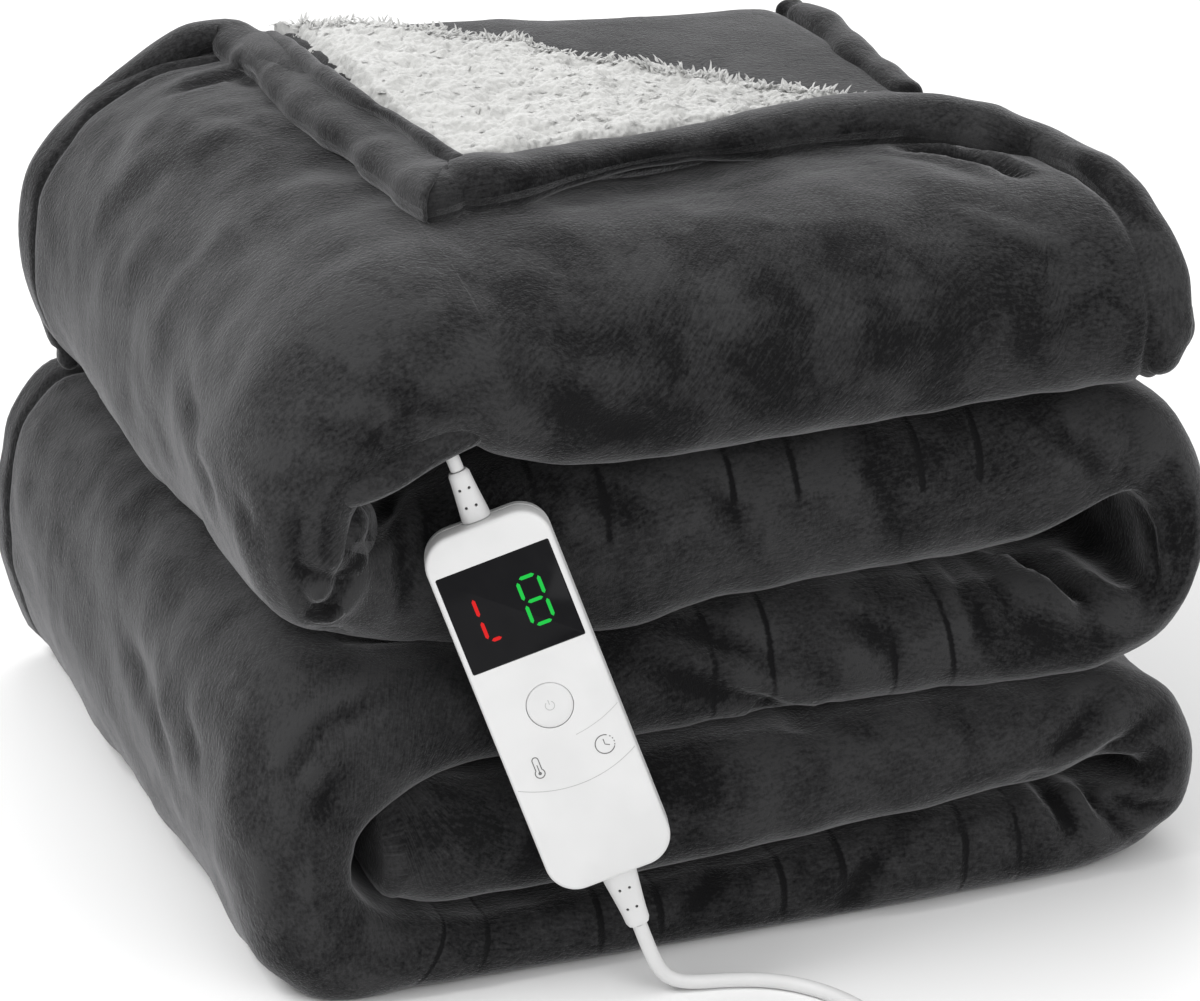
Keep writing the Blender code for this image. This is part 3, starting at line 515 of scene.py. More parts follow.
def coil_points():
    """The coil's turns: inwards on the floor, up, and outwards on the upper level."""
    low, high = COIL_LEVELS
    points = []
    count = round(COIL_TURNS * COIL_STEPS)
    for index in range(1, count):
        turn = COIL_TURNS * index / count
        if turn < COIL_CLIMB[0]:
            inward = max(0.0, turn - COIL_JOIN) * COIL_PITCH
            join = 1.0 - smooth_share(turn, 0.0, COIL_JOIN)
            reach = COIL_OUTER_TURN - inward + (COIL_BESIDE - COIL_OUTER_TURN) * join
            height = low
        else:
            outward = max(0.0, turn - COIL_CLIMB[1]) * COIL_PITCH
            reach = min(COIL_OUTER_TURN, COIL_INNER_TURN + outward)
            height = low + (high - low) * smooth_share(turn, *COIL_CLIMB)
        left = COIL_TURNS - turn
        if left < COIL_DROP:
            swing = 0.5 * math.pi * (1.0 - left / COIL_DROP)
            reach = COIL_OUTER_TURN + (COIL_BESIDE - COIL_OUTER_TURN) * math.sin(swing)
            height = low + (high - low) * math.cos(swing)
        angle = -2.0 * math.pi * turn
        around = Vector((math.cos(angle), math.sin(angle), 0.0))
        points.append(COIL_CENTRE + around * reach + Vector((0.0, 0.0, height)))
    return points


def plug_matrix():
    """From the plug's own axes (blades towards +X) to the frame."""
    return Matrix.Translation(PLUG_CENTRE - PLAN_CENTRE) @ Matrix.Rotation(PLUG_TURN, 4, "Z")


def rounded_outline(width, length, corner, steps):
    """Points (x, z) around a rounded rectangle."""
    points = []
    quarters = ((1, 1, 0), (-1, 1, 90), (-1, -1, 180), (1, -1, 270))
    for side_x, side_z, start in quarters:
        centre_x = side_x * (0.5 * width - corner)
        centre_z = side_z * (0.5 * length - corner)
        for index in range(steps + 1):
            angle = math.radians(start + 90.0 * index / steps)
            spot_x = centre_x + corner * math.cos(angle)
            points.append((spot_x, centre_z + corner * math.sin(angle)))
    return points


def build_plug():
    """A two-blade mains plug with a ribbed strain relief, and its blades."""
    matrix = plug_matrix()
    back = -0.5 * PLUG_LENGTH
    front = 0.5 * PLUG_LENGTH
    # sections along the plug: x, width, height and corner radius
    sizes = [(back - PLUG_RELIEF, 0.0078, 0.0078, 0.0037)]
    for rib in range(PLUG_RIBS):
        start = back - PLUG_RELIEF + 0.0012 + rib * PLUG_RIB_PITCH
        grown = 0.0084 + rib * 0.0008
        sizes.append((start, grown, grown, 0.0040))
        sizes.append((start + 0.0022, grown + 0.0002, grown + 0.0002, 0.0040))
        sizes.append((start + 0.0026, grown - 0.0014, grown - 0.0014, 0.0033))
        sizes.append((start + 0.0036, grown - 0.0012, grown - 0.0012, 0.0033))
    sizes += [
        (back, 0.0186, 0.0146, 0.0050),
        (back + 0.0018, 0.0206, 0.0164, 0.0054),
        (back + 0.0050, 0.0230, 0.0182, 0.0056),
        (back + 0.0090, 0.0243, 0.0192, 0.0056),
        (back + 0.0140, PLUG_WIDE, PLUG_HIGH, 0.0055),
        (front - 0.0030, PLUG_WIDE, PLUG_HIGH, 0.0050),
        (front - 0.0014, PLUG_WIDE - 0.0004, PLUG_HIGH - 0.0004, 0.0048),
        (front - 0.0005, PLUG_WIDE - 0.0016, PLUG_HIGH - 0.0016, 0.0044),
        (front, PLUG_WIDE - 0.0034, PLUG_HIGH - 0.0034, 0.0036),
    ]
    rings = []
    for x, wide, high, corner in sizes:
        outline = rounded_outline(wide, high, corner, 7)
        rings.append([matrix @ Vector((x, y, z)) for y, z in outline])
    plug = mesh_object("plug_body", ring_mesh(rings), CORD_WHITE, sharp=50.0)
    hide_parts("mains_plug")
    blades = []
    for name, side in (("left", 1.0), ("right", -1.0)):
        mesh = bmesh.new()
        bmesh.ops.create_cube(mesh, size=1.0)
        bmesh.ops.scale(mesh, verts=mesh.verts[:], vec=(BLADE_LENGTH, BLADE_THICK, BLADE_WIDE))
        bmesh.ops.bevel(mesh, geom=mesh.edges[:], offset=BLADE_BEVEL, segments=2,
                        affect="EDGES")
        place_x = front + GAP + 0.5 * BLADE_LENGTH
        bmesh.ops.translate(mesh, verts=mesh.verts[:],
                            vec=(place_x, side * 0.5 * BLADE_SPACING, 0.0))
        mesh.transform(matrix)
        blade = mesh_object(f"plug_blade_{name}_fine", mesh, BLADE_METAL)
        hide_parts(f"plug_blade_{name}")
        blades.append(blade)
    return [plug] + blades


def build_cords():
    """The controller's lead and the mains cord with its coil and plug."""
    plug = build_plug()
    back = -0.5 * PLUG_LENGTH - PLUG_RELIEF - GAP
    tail_bend = plug_matrix() @ Vector((back - CORD_STRAIGHT, 0.0, 0.0)) + PLAN_CENTRE
    tail_end = plug_matrix() @ Vector((back, 0.0, 0.0)) + PLAN_CENTRE
    start = relief_tip(BOTTOM_RELIEF, -1.0)
    bend = relief_tip(BOTTOM_RELIEF, -1.0, CORD_STRAIGHT)
    run = [start] + smooth_route((bend,) + MAINS_ROUTE, CORD_STEP)
    tail = smooth_route(TAIL_ROUTE + (tail_bend,), CORD_STEP) + [tail_end]
    cord = cord_curve("mains_cord_run", run + coil_points() + tail, CORD_RADIUS)
    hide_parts("mains_cord", "cord_coil", "cord_tail")
    start = relief_tip(TOP_RELIEF, 1.0)
    end = SOCKET_CENTRE - Vector((0.0, 0.5 * SOCKET_SIZE_Y + GAP, 0.0))
    bend = relief_tip(TOP_RELIEF, 1.0, CORD_STRAIGHT)
    run = [start] + smooth_route((bend,) + LEAD_ROUTE, CORD_STEP) + [end]
    lead = cord_curve("controller_lead_run", run, LEAD_RADIUS)
    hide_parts("controller_lead")


build_cords()


# ---------------------------------------------------------------- cloth
SHEET = 0.017                   # one sheet of flannel and fleece, lofted
SLIT = 0.0014                   # between sheets
HEM_WIDTH = 0.022
HEM_ROUND = 0.004
EDGE_LEVEL = 0.42               # how high up a layer its front edge stands furthest out

# The strip's sections from its free end on top to its free end inside, in millimetres of the
# design frame, much as in the part's source.
FOLD_COLUMNS = ("x_a", "z_a", "x_b", "z_b", "front", "rear", "round_a", "round_b")
FOLD_ROWS = (
    # top layer, right to left
    (187, 272, 187, 224, -190, 174, 26, 16),
    (181, 281, 181, 215, -193, 178, 40, 18),
    (168, 286, 169, 211, -194, 179, 56, 20),
    (150, 288, 150, 210, -194, 180, 68, 20),
    (120, 288, 121, 209, -194, 180, 78, 20),
    (85, 288, 85, 208, -194, 179, 85, 20),
    (45, 288, 45, 207, -195, 178, 85, 20),
    (5, 288, 5, 207, -195, 177, 85, 20),
    (-35, 288, -35, 207, -195, 176, 85, 20),
    (-80, 288, -78, 209, -195, 175, 80, 20),
    (-114, 288, -104, 217, -195, 175, 74, 18),
    # upper left bend
    (-140, 286, -120, 226, -194, 176, 64, 16),
    (-165, 275, -139, 223, -193, 176, 52, 14),
    (-185, 255, -152, 214, -192, 175, 42, 13),
    (-197, 230, -160, 205, -191, 174, 34, 12),
    (-202, 202, -163, 198, -190, 173, 30, 12),
    (-198, 174, -162, 190, -188, 170, 28, 13),
    (-184, 152, -156, 184, -185, 168, 26, 16),
    (-158, 140, -143, 186, -178, 167, 26, 20),
    # second layer, left to right
    (-130, 133, -122, 195, -171.8, 167, 26, 28),
    (-95, 129, -95, 203, -174, 167, 26, 30),
    (-50, 129, -50, 204, -178, 167, 26, 30),
    (0, 135, 0, 204, -180, 168, 26, 30),
    (50, 139, 50, 205, -182, 168, 26, 30),
    (95, 139, 98, 206, -183, 168, 24, 30),
    (126, 142, 138, 206, -184, 169, 20, 30),
    # middle right bend
    (147, 153, 168, 204, -185, 170, 14, 26),
    (165, 163, 188, 194, -186, 171, 12, 24),
    (176, 157, 200, 172, -187, 171, 11, 24),
    (178, 141, 203, 143, -187, 171, 11, 26),
    (174, 126, 197, 115, -187, 171, 11, 26),
    (161, 121, 185, 95, -186, 171, 12, 26),
    (145, 121, 163, 85, -184, 171, 16, 24),
    # third layer, right to left
    (120, 126, 130, 83, -182, 171, 22, 22),
    (86, 130, 92, 83, -180, 172, 26, 22),
    (45, 133, 48, 83, -179, 172, 26, 22),
    (0, 132, 0, 83, -178, 173, 26, 22),
    (-50, 126, -50, 83, -178, 174, 26, 22),
    (-95, 126, -95, 83, -180, 177, 26, 22),
    (-132, 130, -128, 84, -184, 182, 28, 16),
    # lower left bend
    (-160, 137, -145, 80, -188, 187, 30, 13),
    (-187, 138, -157, 74, -190, 191, 32, 12),
    (-203, 121, -164, 67, -191, 193, 32, 12),
    (-211, 95, -167, 60, -192, 194, 32, 12),
    (-213, 65, -168, 53, -193, 194, 32, 12),
    (-209, 37, -167, 45, -194, 193, 32, 12),
    (-200, 14, -160, 36, -195, 191, 26, 12),
    # bottom layer, left to right
    (-183, 0, -148, 29, -196, 187, 18, 14),
    (-140, 0, -126, 27, -197, 182, 14, 15),
    (-65, 0, -65, 28, -197, 180, 12, 15),
    (0, 0, 0, 30, -197, 179, 12, 16),
    (60, 0, 60, 36, -197, 179, 12, 18),
    (110, 0, 110, 38, -196, 179, 14, 18),
    (160, 0, 146, 37, -193, 179, 18, 14),
    # lower right bend
    (184, 5, 161, 37, -191, 178, 24, 10),
    (201, 19, 170, 39, -190, 177, 26, 9),
    (206, 42, 174, 42, -190, 176, 28, 9),
    (198, 66, 170, 45, -191, 175, 28, 10),
    (174, 80, 158, 46, -192, 174, 26, 14),
    # fourth layer, right to left, its end inside the lower left bend
    (135, 81, 136, 43, -194, 173, 26, 20),
    (90, 81, 90, 40, -196, 173, 26, 22),
    (40, 81, 40, 36, -198, 173, 26, 22),
    (-20, 81, -20, 33, -200, 173, 26, 22),
    (-75, 81, -75, 32, -198.6, 173, 26, 22),
    (-112, 81, -112, 32, -197.2, 173, 24, 22),
    (-137, 82, -137, 34, -194, 172, 22, 20),
    (-146, 79, -146, 38, -191, 169, 18, 16),
)
TOP_ROWS = 11                   # rows of the top layer
TOP_LEVEL = 0.25                # side a is above this on the top layer alone
END_FROM = 0.100                # the top layer's end slants from this x on
END_TURN = -0.100
END_SLANT = 0.075

# The turned corner of the top sheet.
FLAP_X = -0.110
FLAP_REAR = 0.174
FLAP_CORE = 0.0080
FLAP_PUFF = 0.0090              # height of its edges, under the hem bands
FLAP_LEFT_FROM = 0.108          # right of this only a narrow strip goes on
FLAP_LAST = 0.1270              # to here
FLAP_LIFT = 0.0030              # the corner stands off the sheet near its right end
# The turned corner's front edge: x and depth, in mm.
FLAP_EDGE = ((-112, -96), (-84, -96), (-56, -92), (-24, -84), (21, -79), (57, -74), (92, -72),
             (116, -70), (130, -68))
# How far its diagonal fold is drawn in from a straight line: x and the distance, in mm.
FLAP_DRAWN = ((-30, 0), (-10, 4), (5, 6), (20, 10), (40, 13), (60, 14), (90, 13), (110, 12))
FLAP_NARROWEST = 0.024
FOLD_REACH = 0.0155             # from the fold's crest forward to where the corner lies flat
BAND_FULL = 0.018               # where the corner reaches back less than this, its bands are lower
BAND_SQUARE = 2.6               # 2 would be an ellipse
HEM_CORNER = 1.28               # rounds the turned corner's point, in hem widths
CURL = 0.40                     # how far its edge curls up, in heights of the bands
CURL_WIDTH = 0.008
SHERPA_THICK = 0.0065
SWELL_HEIGHT = 0.0060
SWELL_START = 0.0220
SWELL_REACH = 0.0500
# How far the middle sheet's rear edge swells up besides: x and the height, in mm.
REAR_SWELL = ((-80, 17), (-50, 16), (-27, 14), (0, 12), (20, 11), (43, 8), (70, 6), (103, 4),
              (136, 3), (165, 3))
REAR_START = 0.0100
REAR_REACH = 0.0250

STATION_STEP = 0.0048           # between sections beyond the turned corner's left edge
FINE_STEP = 0.0040              # from that edge to the first of them
TOP_STATIONS = 70               # from the strip's free end on top to TOP_BESIDE before that edge
TOP_BESIDE = 0.012
EDGE_STATIONS = 9               # from that edge to EDGE_REACH before it, closest at the edge
EDGE_REACH = 0.011
EDGE_BESIDE = (0.0205, 0.0235, -0.0003)     # single sections at these distances before it
HEM_STATIONS = (0.0160, 0.0185, 0.0200, 0.0215, 0.0235)     # round the end hem's groove
LEAST_STEP = 0.00025            # between any two sections
FOLD_STEPS = 9                  # a section's points round the turned corner's fold
FLAP_TOP_STEPS = 44
FLAP_UNDER_STEPS = 16
FLAP_POINTS = FOLD_STEPS + FLAP_TOP_STEPS + FLAP_UNDER_STEPS


def value_at(table, x):
    """The value at x of a table of x and values, both in mm, in metres."""
    across, values = zip(*table)
    return float(np.interp(x / MM, across, values)) * MM


def hermite(knots, values, at):
    """Smooth rows of values at places between knots."""
    steps = np.diff(knots)[:, None]
    rises = np.diff(values, axis=0) / steps
    slopes = np.vstack([rises[:1], (rises[:-1] * steps[1:] + rises[1:] * steps[:-1])
                        / (steps[1:] + steps[:-1]), rises[-1:]])
    index = np.clip(np.searchsorted(knots, at, side="right") - 1, 0, len(knots) - 2)
    step = (knots[index + 1] - knots[index])[:, None]
    t = (at - knots[index])[:, None] / step
    first = (2 * t ** 3 - 3 * t ** 2 + 1) * values[index]
    second = (t ** 3 - 2 * t ** 2 + t) * step * slopes[index]
    third = (3 * t ** 2 - 2 * t ** 3) * values[index + 1]
    return first + second + third + (t ** 3 - t ** 2) * step * slopes[index + 1]


ROW_VALUES = np.array(FOLD_ROWS, float) * MM
SIDE_A_STEPS = np.hypot(np.diff(ROW_VALUES[:, 0]), np.diff(ROW_VALUES[:, 1]))
SIDE_B_STEPS = np.hypot(np.diff(ROW_VALUES[:, 2]), np.diff(ROW_VALUES[:, 3]))
KNOTS = np.concatenate([[0.0], np.cumsum(np.maximum(SIDE_A_STEPS, SIDE_B_STEPS))])


def rows_at(places):
    """Rows of the strip at distances along it, as dictionaries."""
    table = hermite(KNOTS, ROW_VALUES, np.array(places))
    return [dict(zip(FOLD_COLUMNS, map(float, line))) for line in table]


def place_of_x(x):
    """Distance along the strip where the top layer's side a stands at x."""
    fine = np.linspace(0.0, KNOTS[TOP_ROWS - 1], 600)
    across = hermite(KNOTS, ROW_VALUES, fine)[:, 0]
    return float(np.interp(-x, -across, fine))


def edge_levels(row, y):
    """Lowest and highest level of a layer at depth y; both meet at the front edge."""
    levels = []
    for reach, flat in ((row["round_b"], 0.0), (row["round_a"], 1.0)):
        inward = min(1.0, max(0.0, (y - row["front"]) / reach))
        levels.append(EDGE_LEVEL + (flat - EDGE_LEVEL) * math.sqrt(1.0 - (1.0 - inward) ** 2))
    return levels


def end_slant(row, y):
    """How far a section of the top layer's right end leans to the left at depth y."""
    if row["z_a"] < TOP_LEVEL or row["x_a"] < END_FROM:
        return 0.0
    share = (row["x_a"] - END_FROM) / (FOLD_ROWS[0][0] * MM - END_FROM)
    return END_SLANT * share * max(0.0, y - END_TURN)


def place(row, y, level, lift=0.0):
    """A point of the section: level 0 is side b, level 1 is side a, lift is above side a."""
    low, high = edge_levels(row, y)
    height = low + (high - low) * level
    along_x, along_z = row["x_a"] - row["x_b"], row["z_a"] - row["z_b"]
    thick = math.hypot(along_x, along_z)
    x = row["x_b"] + along_x * height + along_x / thick * lift - end_slant(row, y)
    z = row["z_b"] + along_z * height + along_z / thick * lift
    x, z = relax(x, y, z)
    return (x - PLAN_CENTRE.x, y - PLAN_CENTRE.y, z)


# How far the top layer sinks at its rear, its rear left and its right front, how far its right
# end draws in, and where along x, y and z each of these sets in and is full.
REAR_SINK = 0.0050
REAR_SINK_Y = (0.060, 0.175)
LEFT_SINK = 0.0020
LEFT_SINK_X = (0.020, 0.110)    # to the left
LEFT_SINK_Y = (0.090, 0.175)
FRONT_SINK = 0.0030
FRONT_SINK_X = (0.105, 0.178)
FRONT_SINK_Y = (-0.040, 0.110)  # to the front
SINK_Z = (0.220, 0.262)
END_DRAWN = 0.0070
END_DRAWN_X = (0.140, 0.187)
END_DRAWN_Z = (0.205, 0.225)


def relax(x, y, z):
    """Where a point of the section comes to lie, as its x and z, once the top layer settles."""
    sink = REAR_SINK * smooth_share(y, *REAR_SINK_Y)
    sink += LEFT_SINK * smooth_share(-x, *LEFT_SINK_X) * smooth_share(y, *LEFT_SINK_Y)
    sink += FRONT_SINK * smooth_share(x, *FRONT_SINK_X) * smooth_share(-y, *FRONT_SINK_Y)
    drawn = END_DRAWN * smooth_share(z, *END_DRAWN_Z) * smooth_share(x, *END_DRAWN_X)
    return x - drawn, z - sink * smooth_share(z, *SINK_Z)


def sheet_levels(row):
    """Levels of the six faces of the three sheets, from side b up to side a."""
    thick = math.hypot(row["x_a"] - row["x_b"], row["z_a"] - row["z_b"])
    slit = min(SLIT / thick, 0.05)
    sheet = min(SHEET / thick, (1.0 - 2.0 * slit) / 3.0)
    inner = 1.0 - 2.0 * sheet - 2.0 * slit
    return (0.0, inner, inner + slit, inner + slit + sheet, 1.0 - sheet, 1.0), thick


def front_arc(row, side, count):
    """Depths along a rounded front side, close together at the edge, edge excluded."""
    reach = row["round_" + side]
    angles = [0.5 * math.pi * (index + 1) / count for index in range(count)]
    return [row["front"] + reach * (1.0 - math.cos(angle)) for angle in angles]


def flap_front(x):
    """Depth of the turned corner's front edge at x."""
    return value_at(FLAP_EDGE, x)


def flap_reach(x):
    """How far the turned corner reaches back from its front edge at x."""
    reach = FLAP_REAR - (x - FLAP_X) - flap_front(x) - value_at(FLAP_DRAWN, x)
    narrow = min(1.0, max(0.0, (x - FLAP_LEFT_FROM) / (FLAP_LAST - FLAP_LEFT_FROM)))
    return max(reach, FLAP_NARROWEST * math.sqrt(1.0 - narrow ** 4))


def flap_fold(x):
    """Depth of the diagonal fold at x."""
    return flap_front(x) + flap_reach(x)


def fold_reach(x):
    """From the fold's crest forward to where the turned corner lies flat."""
    return min(FOLD_REACH, 0.45 * flap_reach(x))


def band_profile(share):
    """A puffy band's height over its width."""
    return max(0.0, 1.0 - abs(2.0 * share - 1.0) ** BAND_SQUARE) ** 0.5


def flap_height(x, y):
    """Thickness of the turned corner's cloth at a point, and how far its underside curls up."""
    reach = flap_reach(x)
    beside_a, beside_b = x - FLAP_X, y - flap_front(x)
    edge = max(0.0, min(beside_a, beside_b))
    if beside_a < HEM_WIDTH and beside_b < HEM_WIDTH:
        corner = math.hypot(HEM_WIDTH - beside_a, HEM_WIDTH - beside_b)
        edge = max(0.0, min(edge, HEM_WIDTH * HEM_CORNER - corner))
    wide = min(HEM_WIDTH, 1.02 * reach)
    share = min(1.0, edge / wide)
    band = FLAP_PUFF * min(1.0, reach / BAND_FULL) * band_profile(share)
    core = FLAP_CORE * smooth_share(edge, 0.80 * wide, 1.1 * wide)
    curl = CURL * FLAP_PUFF * min(1.0, reach / BAND_FULL)
    under = curl * (1.0 - math.sqrt(1.0 - (1.0 - min(1.0, edge / CURL_WIDTH)) ** 2))
    top = max(band, core, 0.0) if edge > 0.0 else 0.0
    return max(top, under), under


def flap_lift(x):
    """How far the band stands off the sheet below."""
    return SLIT + FLAP_LIFT * smooth_share(x, 0.050, 0.125)


def flap_section(row):
    """The turned corner's part of a section, as (depth, lift) from its fold forwards."""
    x = row["x_a"]
    reach = fold_reach(x)
    flat = flap_fold(x) - reach
    lift = flap_lift(x)
    shrink = min(1.0, flap_reach(x) / 0.020)
    thick, _ = flap_height(x, flat)
    top = lift + thick
    bottom = -SHEET * shrink
    middle, half = 0.5 * (top + bottom), 0.5 * (top - bottom)
    outline = []
    for index in range(FOLD_STEPS):
        angle = math.radians(-78.0 + 160.0 * index / (FOLD_STEPS - 1))
        outline.append((flat + reach * math.cos(angle), middle + half * math.sin(angle)))
    front = flap_front(x)
    ahead = flat - front
    for index in range(FLAP_TOP_STEPS):
        share = index / (FLAP_TOP_STEPS - 1)
        if share < 0.5:
            y = flat - ahead * share * 1.1
        else:
            rest = ahead * 0.45
            y = front + rest * (1.0 - math.sin(0.5 * math.pi * (share - 0.5) / 0.5))
        outline.append((y, lift + flap_height(x, y)[0]))
    for index in range(FLAP_UNDER_STEPS):
        share = (index + 1) / FLAP_UNDER_STEPS
        y = front + ahead * (1.0 - math.cos(0.5 * math.pi * share))
        outline.append((y, max(0.2 * SLIT, lift * (1.0 - share ** 3) + flap_height(x, y)[1])))
    return outline


def is_bare(row):
    """Whether the turned corner leaves the middle sheet bare at this row."""
    return row["z_a"] > TOP_LEVEL and row["x_a"] > FLAP_X - 0.0002


def swell(row, y):
    """How far the middle sheet swells up where the turned corner leaves it bare."""
    if not is_bare(row):
        return 0.0
    behind = y - flap_fold(row["x_a"])
    rear = value_at(REAR_SWELL, row["x_a"])
    rear *= smooth_share(behind, REAR_START, REAR_START + REAR_REACH)
    rear *= smooth_share(y, 0.060, 0.155)
    return SWELL_HEIGHT * smooth_share(behind, SWELL_START, SWELL_START + SWELL_REACH) + rear


HEM_OFFSETS = (0.0, 0.002, 0.005, 0.009, 0.0125, 0.015, 0.0166, 0.018, 0.0194, 0.021, 0.0235,
               0.027)
INNER, OUTER, BESIDE_A, BESIDE_B = 0, 1, 2, 3
ARC_A_STEPS = 16                # a section's points round its front edge on side a
ARC_B_STEPS = 14
ROOF_STEPS = 62                 # across side a, and how many differ where it is hidden
ROOF_KEPT = 9
FLOOR_EDGE_STEPS = 10           # on side b, next to its front edge
FLOOR_STEPS = 22                # across side b
FLOOR_KEPT = 7
MIDDLE_STEPS = 36               # across the middle sheet's top
MIDDLE_KEPT = 7
REAR_STEPS = 9                  # round the rear fold of the two sheets next to side b
REAR_ROUND = 0.022              # the most that this fold takes of the depth
BARE_REAR_ROUND = 0.013         # the same where the turned corner leaves it bare
INNER_LEAST = 0.008             # the slits start at least this far in from the front edge
CURVED_LEAST = 0.018            # and at least this length of them is curved


def thinned(depths, kept):
    """As many depths, but only a few different ones; the repeats are merged later."""
    last = len(depths) - 1
    return [depths[round(round(index * (kept - 1) / last) * last / (kept - 1))]
            for index in range(last + 1)]


def cloth_section(row, turned, hidden):
    """One closed outline of the letter-folded strip, as (point, kind)."""
    levels, thick = sheet_levels(row)
    floor, s1_in, s2_in, s2_out, s3_in, roof = levels
    front, rear = row["front"], row["rear"]
    edge = min(rear, flap_fold(row["x_a"])) if is_bare(row) else rear
    arc_a = front_arc(row, "a", ARC_A_STEPS)
    arc_b = front_arc(row, "b", ARC_B_STEPS)
    back = rear - min(0.45 * s2_out * thick, BARE_REAR_ROUND if is_bare(row) else REAR_ROUND)
    inner_front = front + max(INNER_LEAST, min(0.9 * SHEET, 0.30 * thick))
    near = inner_front + 0.003
    deep = max(front + row["round_a"], near + CURVED_LEAST)
    step = deep - near
    depths = [near, near + 0.28 * step, near + 0.62 * step, deep, 0.5 * (deep + back)]
    s2_front = depths[1]
    s2_round = min(HEM_ROUND, 0.4 * (depths[2] - s2_front))
    s2_depths = [s2_front + s2_round] + depths[2:] + [back]

    outline = []
    if turned:
        flap = flap_section(row)
        start = min(flap[-1][0], edge - 0.3 * fold_reach(row["x_a"]))
        outline += [(y, roof, lift, OUTER) for y, lift in flap]
    else:
        start = edge - HEM_ROUND
        outline += [(edge, 0.5 * (s3_in + roof), 0.0, OUTER)] * FLAP_POINTS
    outline += [(max(arc_a[-1] + 0.001, start - offset), roof, 0.0, BESIDE_A)
                for offset in HEM_OFFSETS]
    across = spread(max(arc_a[-1] + 0.0009, start - 0.031), arc_a[-1], ROOF_STEPS)
    across = thinned(across, ROOF_KEPT) if hidden else across
    outline += [(y, roof, 0.0, BESIDE_A) for y in across]
    outline += [(y, roof, 0.0, BESIDE_A) for y in reversed(arc_a[:-1])]
    outline.append((front, roof, 0.0, BESIDE_A))
    outline += [(y, floor, 0.0, BESIDE_B) for y in arc_b]
    outline += [(y, floor, 0.0, BESIDE_B)
                for y in spread(arc_b[-1] + 0.003, arc_b[-1] + 0.030, FLOOR_EDGE_STEPS)]
    across = spread(arc_b[-1] + 0.036, back, FLOOR_STEPS)
    across = thinned(across, FLOOR_KEPT) if hidden else across
    outline += [(y, floor, 0.0, BESIDE_B) for y in across]
    for index in range(REAR_STEPS):
        swing = math.pi * (index + 1) / (REAR_STEPS + 1)
        share = 0.5 * (1.0 - math.cos(swing))
        y = back + (rear - back) * math.sin(swing)
        outline.append((y, share * s2_out, share * swell(row, y), OUTER))
    across = spread(back, s2_depths[0], MIDDLE_STEPS)
    for y in across if is_bare(row) else thinned(across, MIDDLE_KEPT):
        outline.append((y, s2_out, swell(row, y), OUTER if is_bare(row) else INNER))
    outline.append((s2_front, 0.5 * (s2_in + s2_out), 0.0, INNER))
    outline += [(y, s2_in, 0.0, INNER) for y in s2_depths]
    outline.append((back + 0.3 * (rear - back), 0.5 * (s1_in + s2_in), 0.0, INNER))
    outline += [(y, s1_in, 0.0, INNER) for y in reversed(depths + [back])]
    outline.append((inner_front, 0.5 * (s1_in + s3_in), 0.0, INNER))
    outline += [(min(y, start), s3_in, 0.0, INNER) for y in depths + [start]]
    return [(place(row, y, level, lift), kind) for y, level, lift, kind in outline]


HIDDEN_ROWS = ((20, 25), (33, 38), (48, 53), (60, 65))      # between other layers


def is_hidden(spot):
    """Whether the strip's broad sides lie between other layers at a distance along it."""
    return any(KNOTS[first] < spot < KNOTS[last] for first, last in HIDDEN_ROWS)


def station_places():
    """Distances along the strip, closer on its hem and at the turned corner's left edge."""
    total = float(KNOTS[-1])
    top = place_of_x(FLAP_X)
    places = list(np.arange(top + FINE_STEP, total - 0.003, STATION_STEP)) + [total]
    places += list(np.linspace(0.0, place_of_x(FLAP_X + TOP_BESIDE), TOP_STATIONS))
    places += HEM_STATIONS
    for index in range(EDGE_STATIONS):
        angle = 0.5 * math.pi * index / (EDGE_STATIONS - 1)
        places.append(place_of_x(FLAP_X + EDGE_REACH * (1.0 - math.cos(angle))))
    places += [place_of_x(FLAP_X + beside) for beside in EDGE_BESIDE]
    kept = []
    for spot in sorted(places):
        if not kept or spot - kept[-1] > LEAST_STEP:
            kept.append(spot)
    return kept


END_ROUND = 0.0065
END_STEPS = 4


def rounded_end(ring, other):
    """Rings that round off the strip's end beyond ring; other is the next one inside."""
    outward = (ring - other).mean(0)
    outward /= np.linalg.norm(outward)
    tangent = np.roll(ring, -2, 0) - np.roll(ring, 2, 0)
    inward = np.cross(outward, tangent)
    length = np.linalg.norm(inward, axis=1, keepdims=True)
    inward = inward / np.maximum(length, 1e-9)
    centre = ring.mean(0)
    area = np.cross(ring - centre, np.roll(ring, -1, 0) - centre).sum(0) @ outward
    if area < 0:
        inward = -inward
    rings = []
    for index in range(1, END_STEPS + 1):
        angle = 0.5 * math.pi * index / END_STEPS
        inset = END_ROUND * (1.0 - math.cos(angle))
        rings.append(ring + inward * inset + outward * END_ROUND * math.sin(angle))
    return rings


def cloth_grid():
    """The strip's rings of points, their kinds and distances along the strip."""
    places = station_places()
    rows = rows_at(places)
    rings, kinds = [], []
    for row, spot in zip(rows, places):
        turned = is_bare(row) and row["x_a"] < FLAP_LAST
        section = cloth_section(row, turned, is_hidden(spot))
        rings.append([point for point, _ in section])
        kinds = [kind for _, kind in section]
    return np.array(rings), np.array(kinds), np.array(places), rows


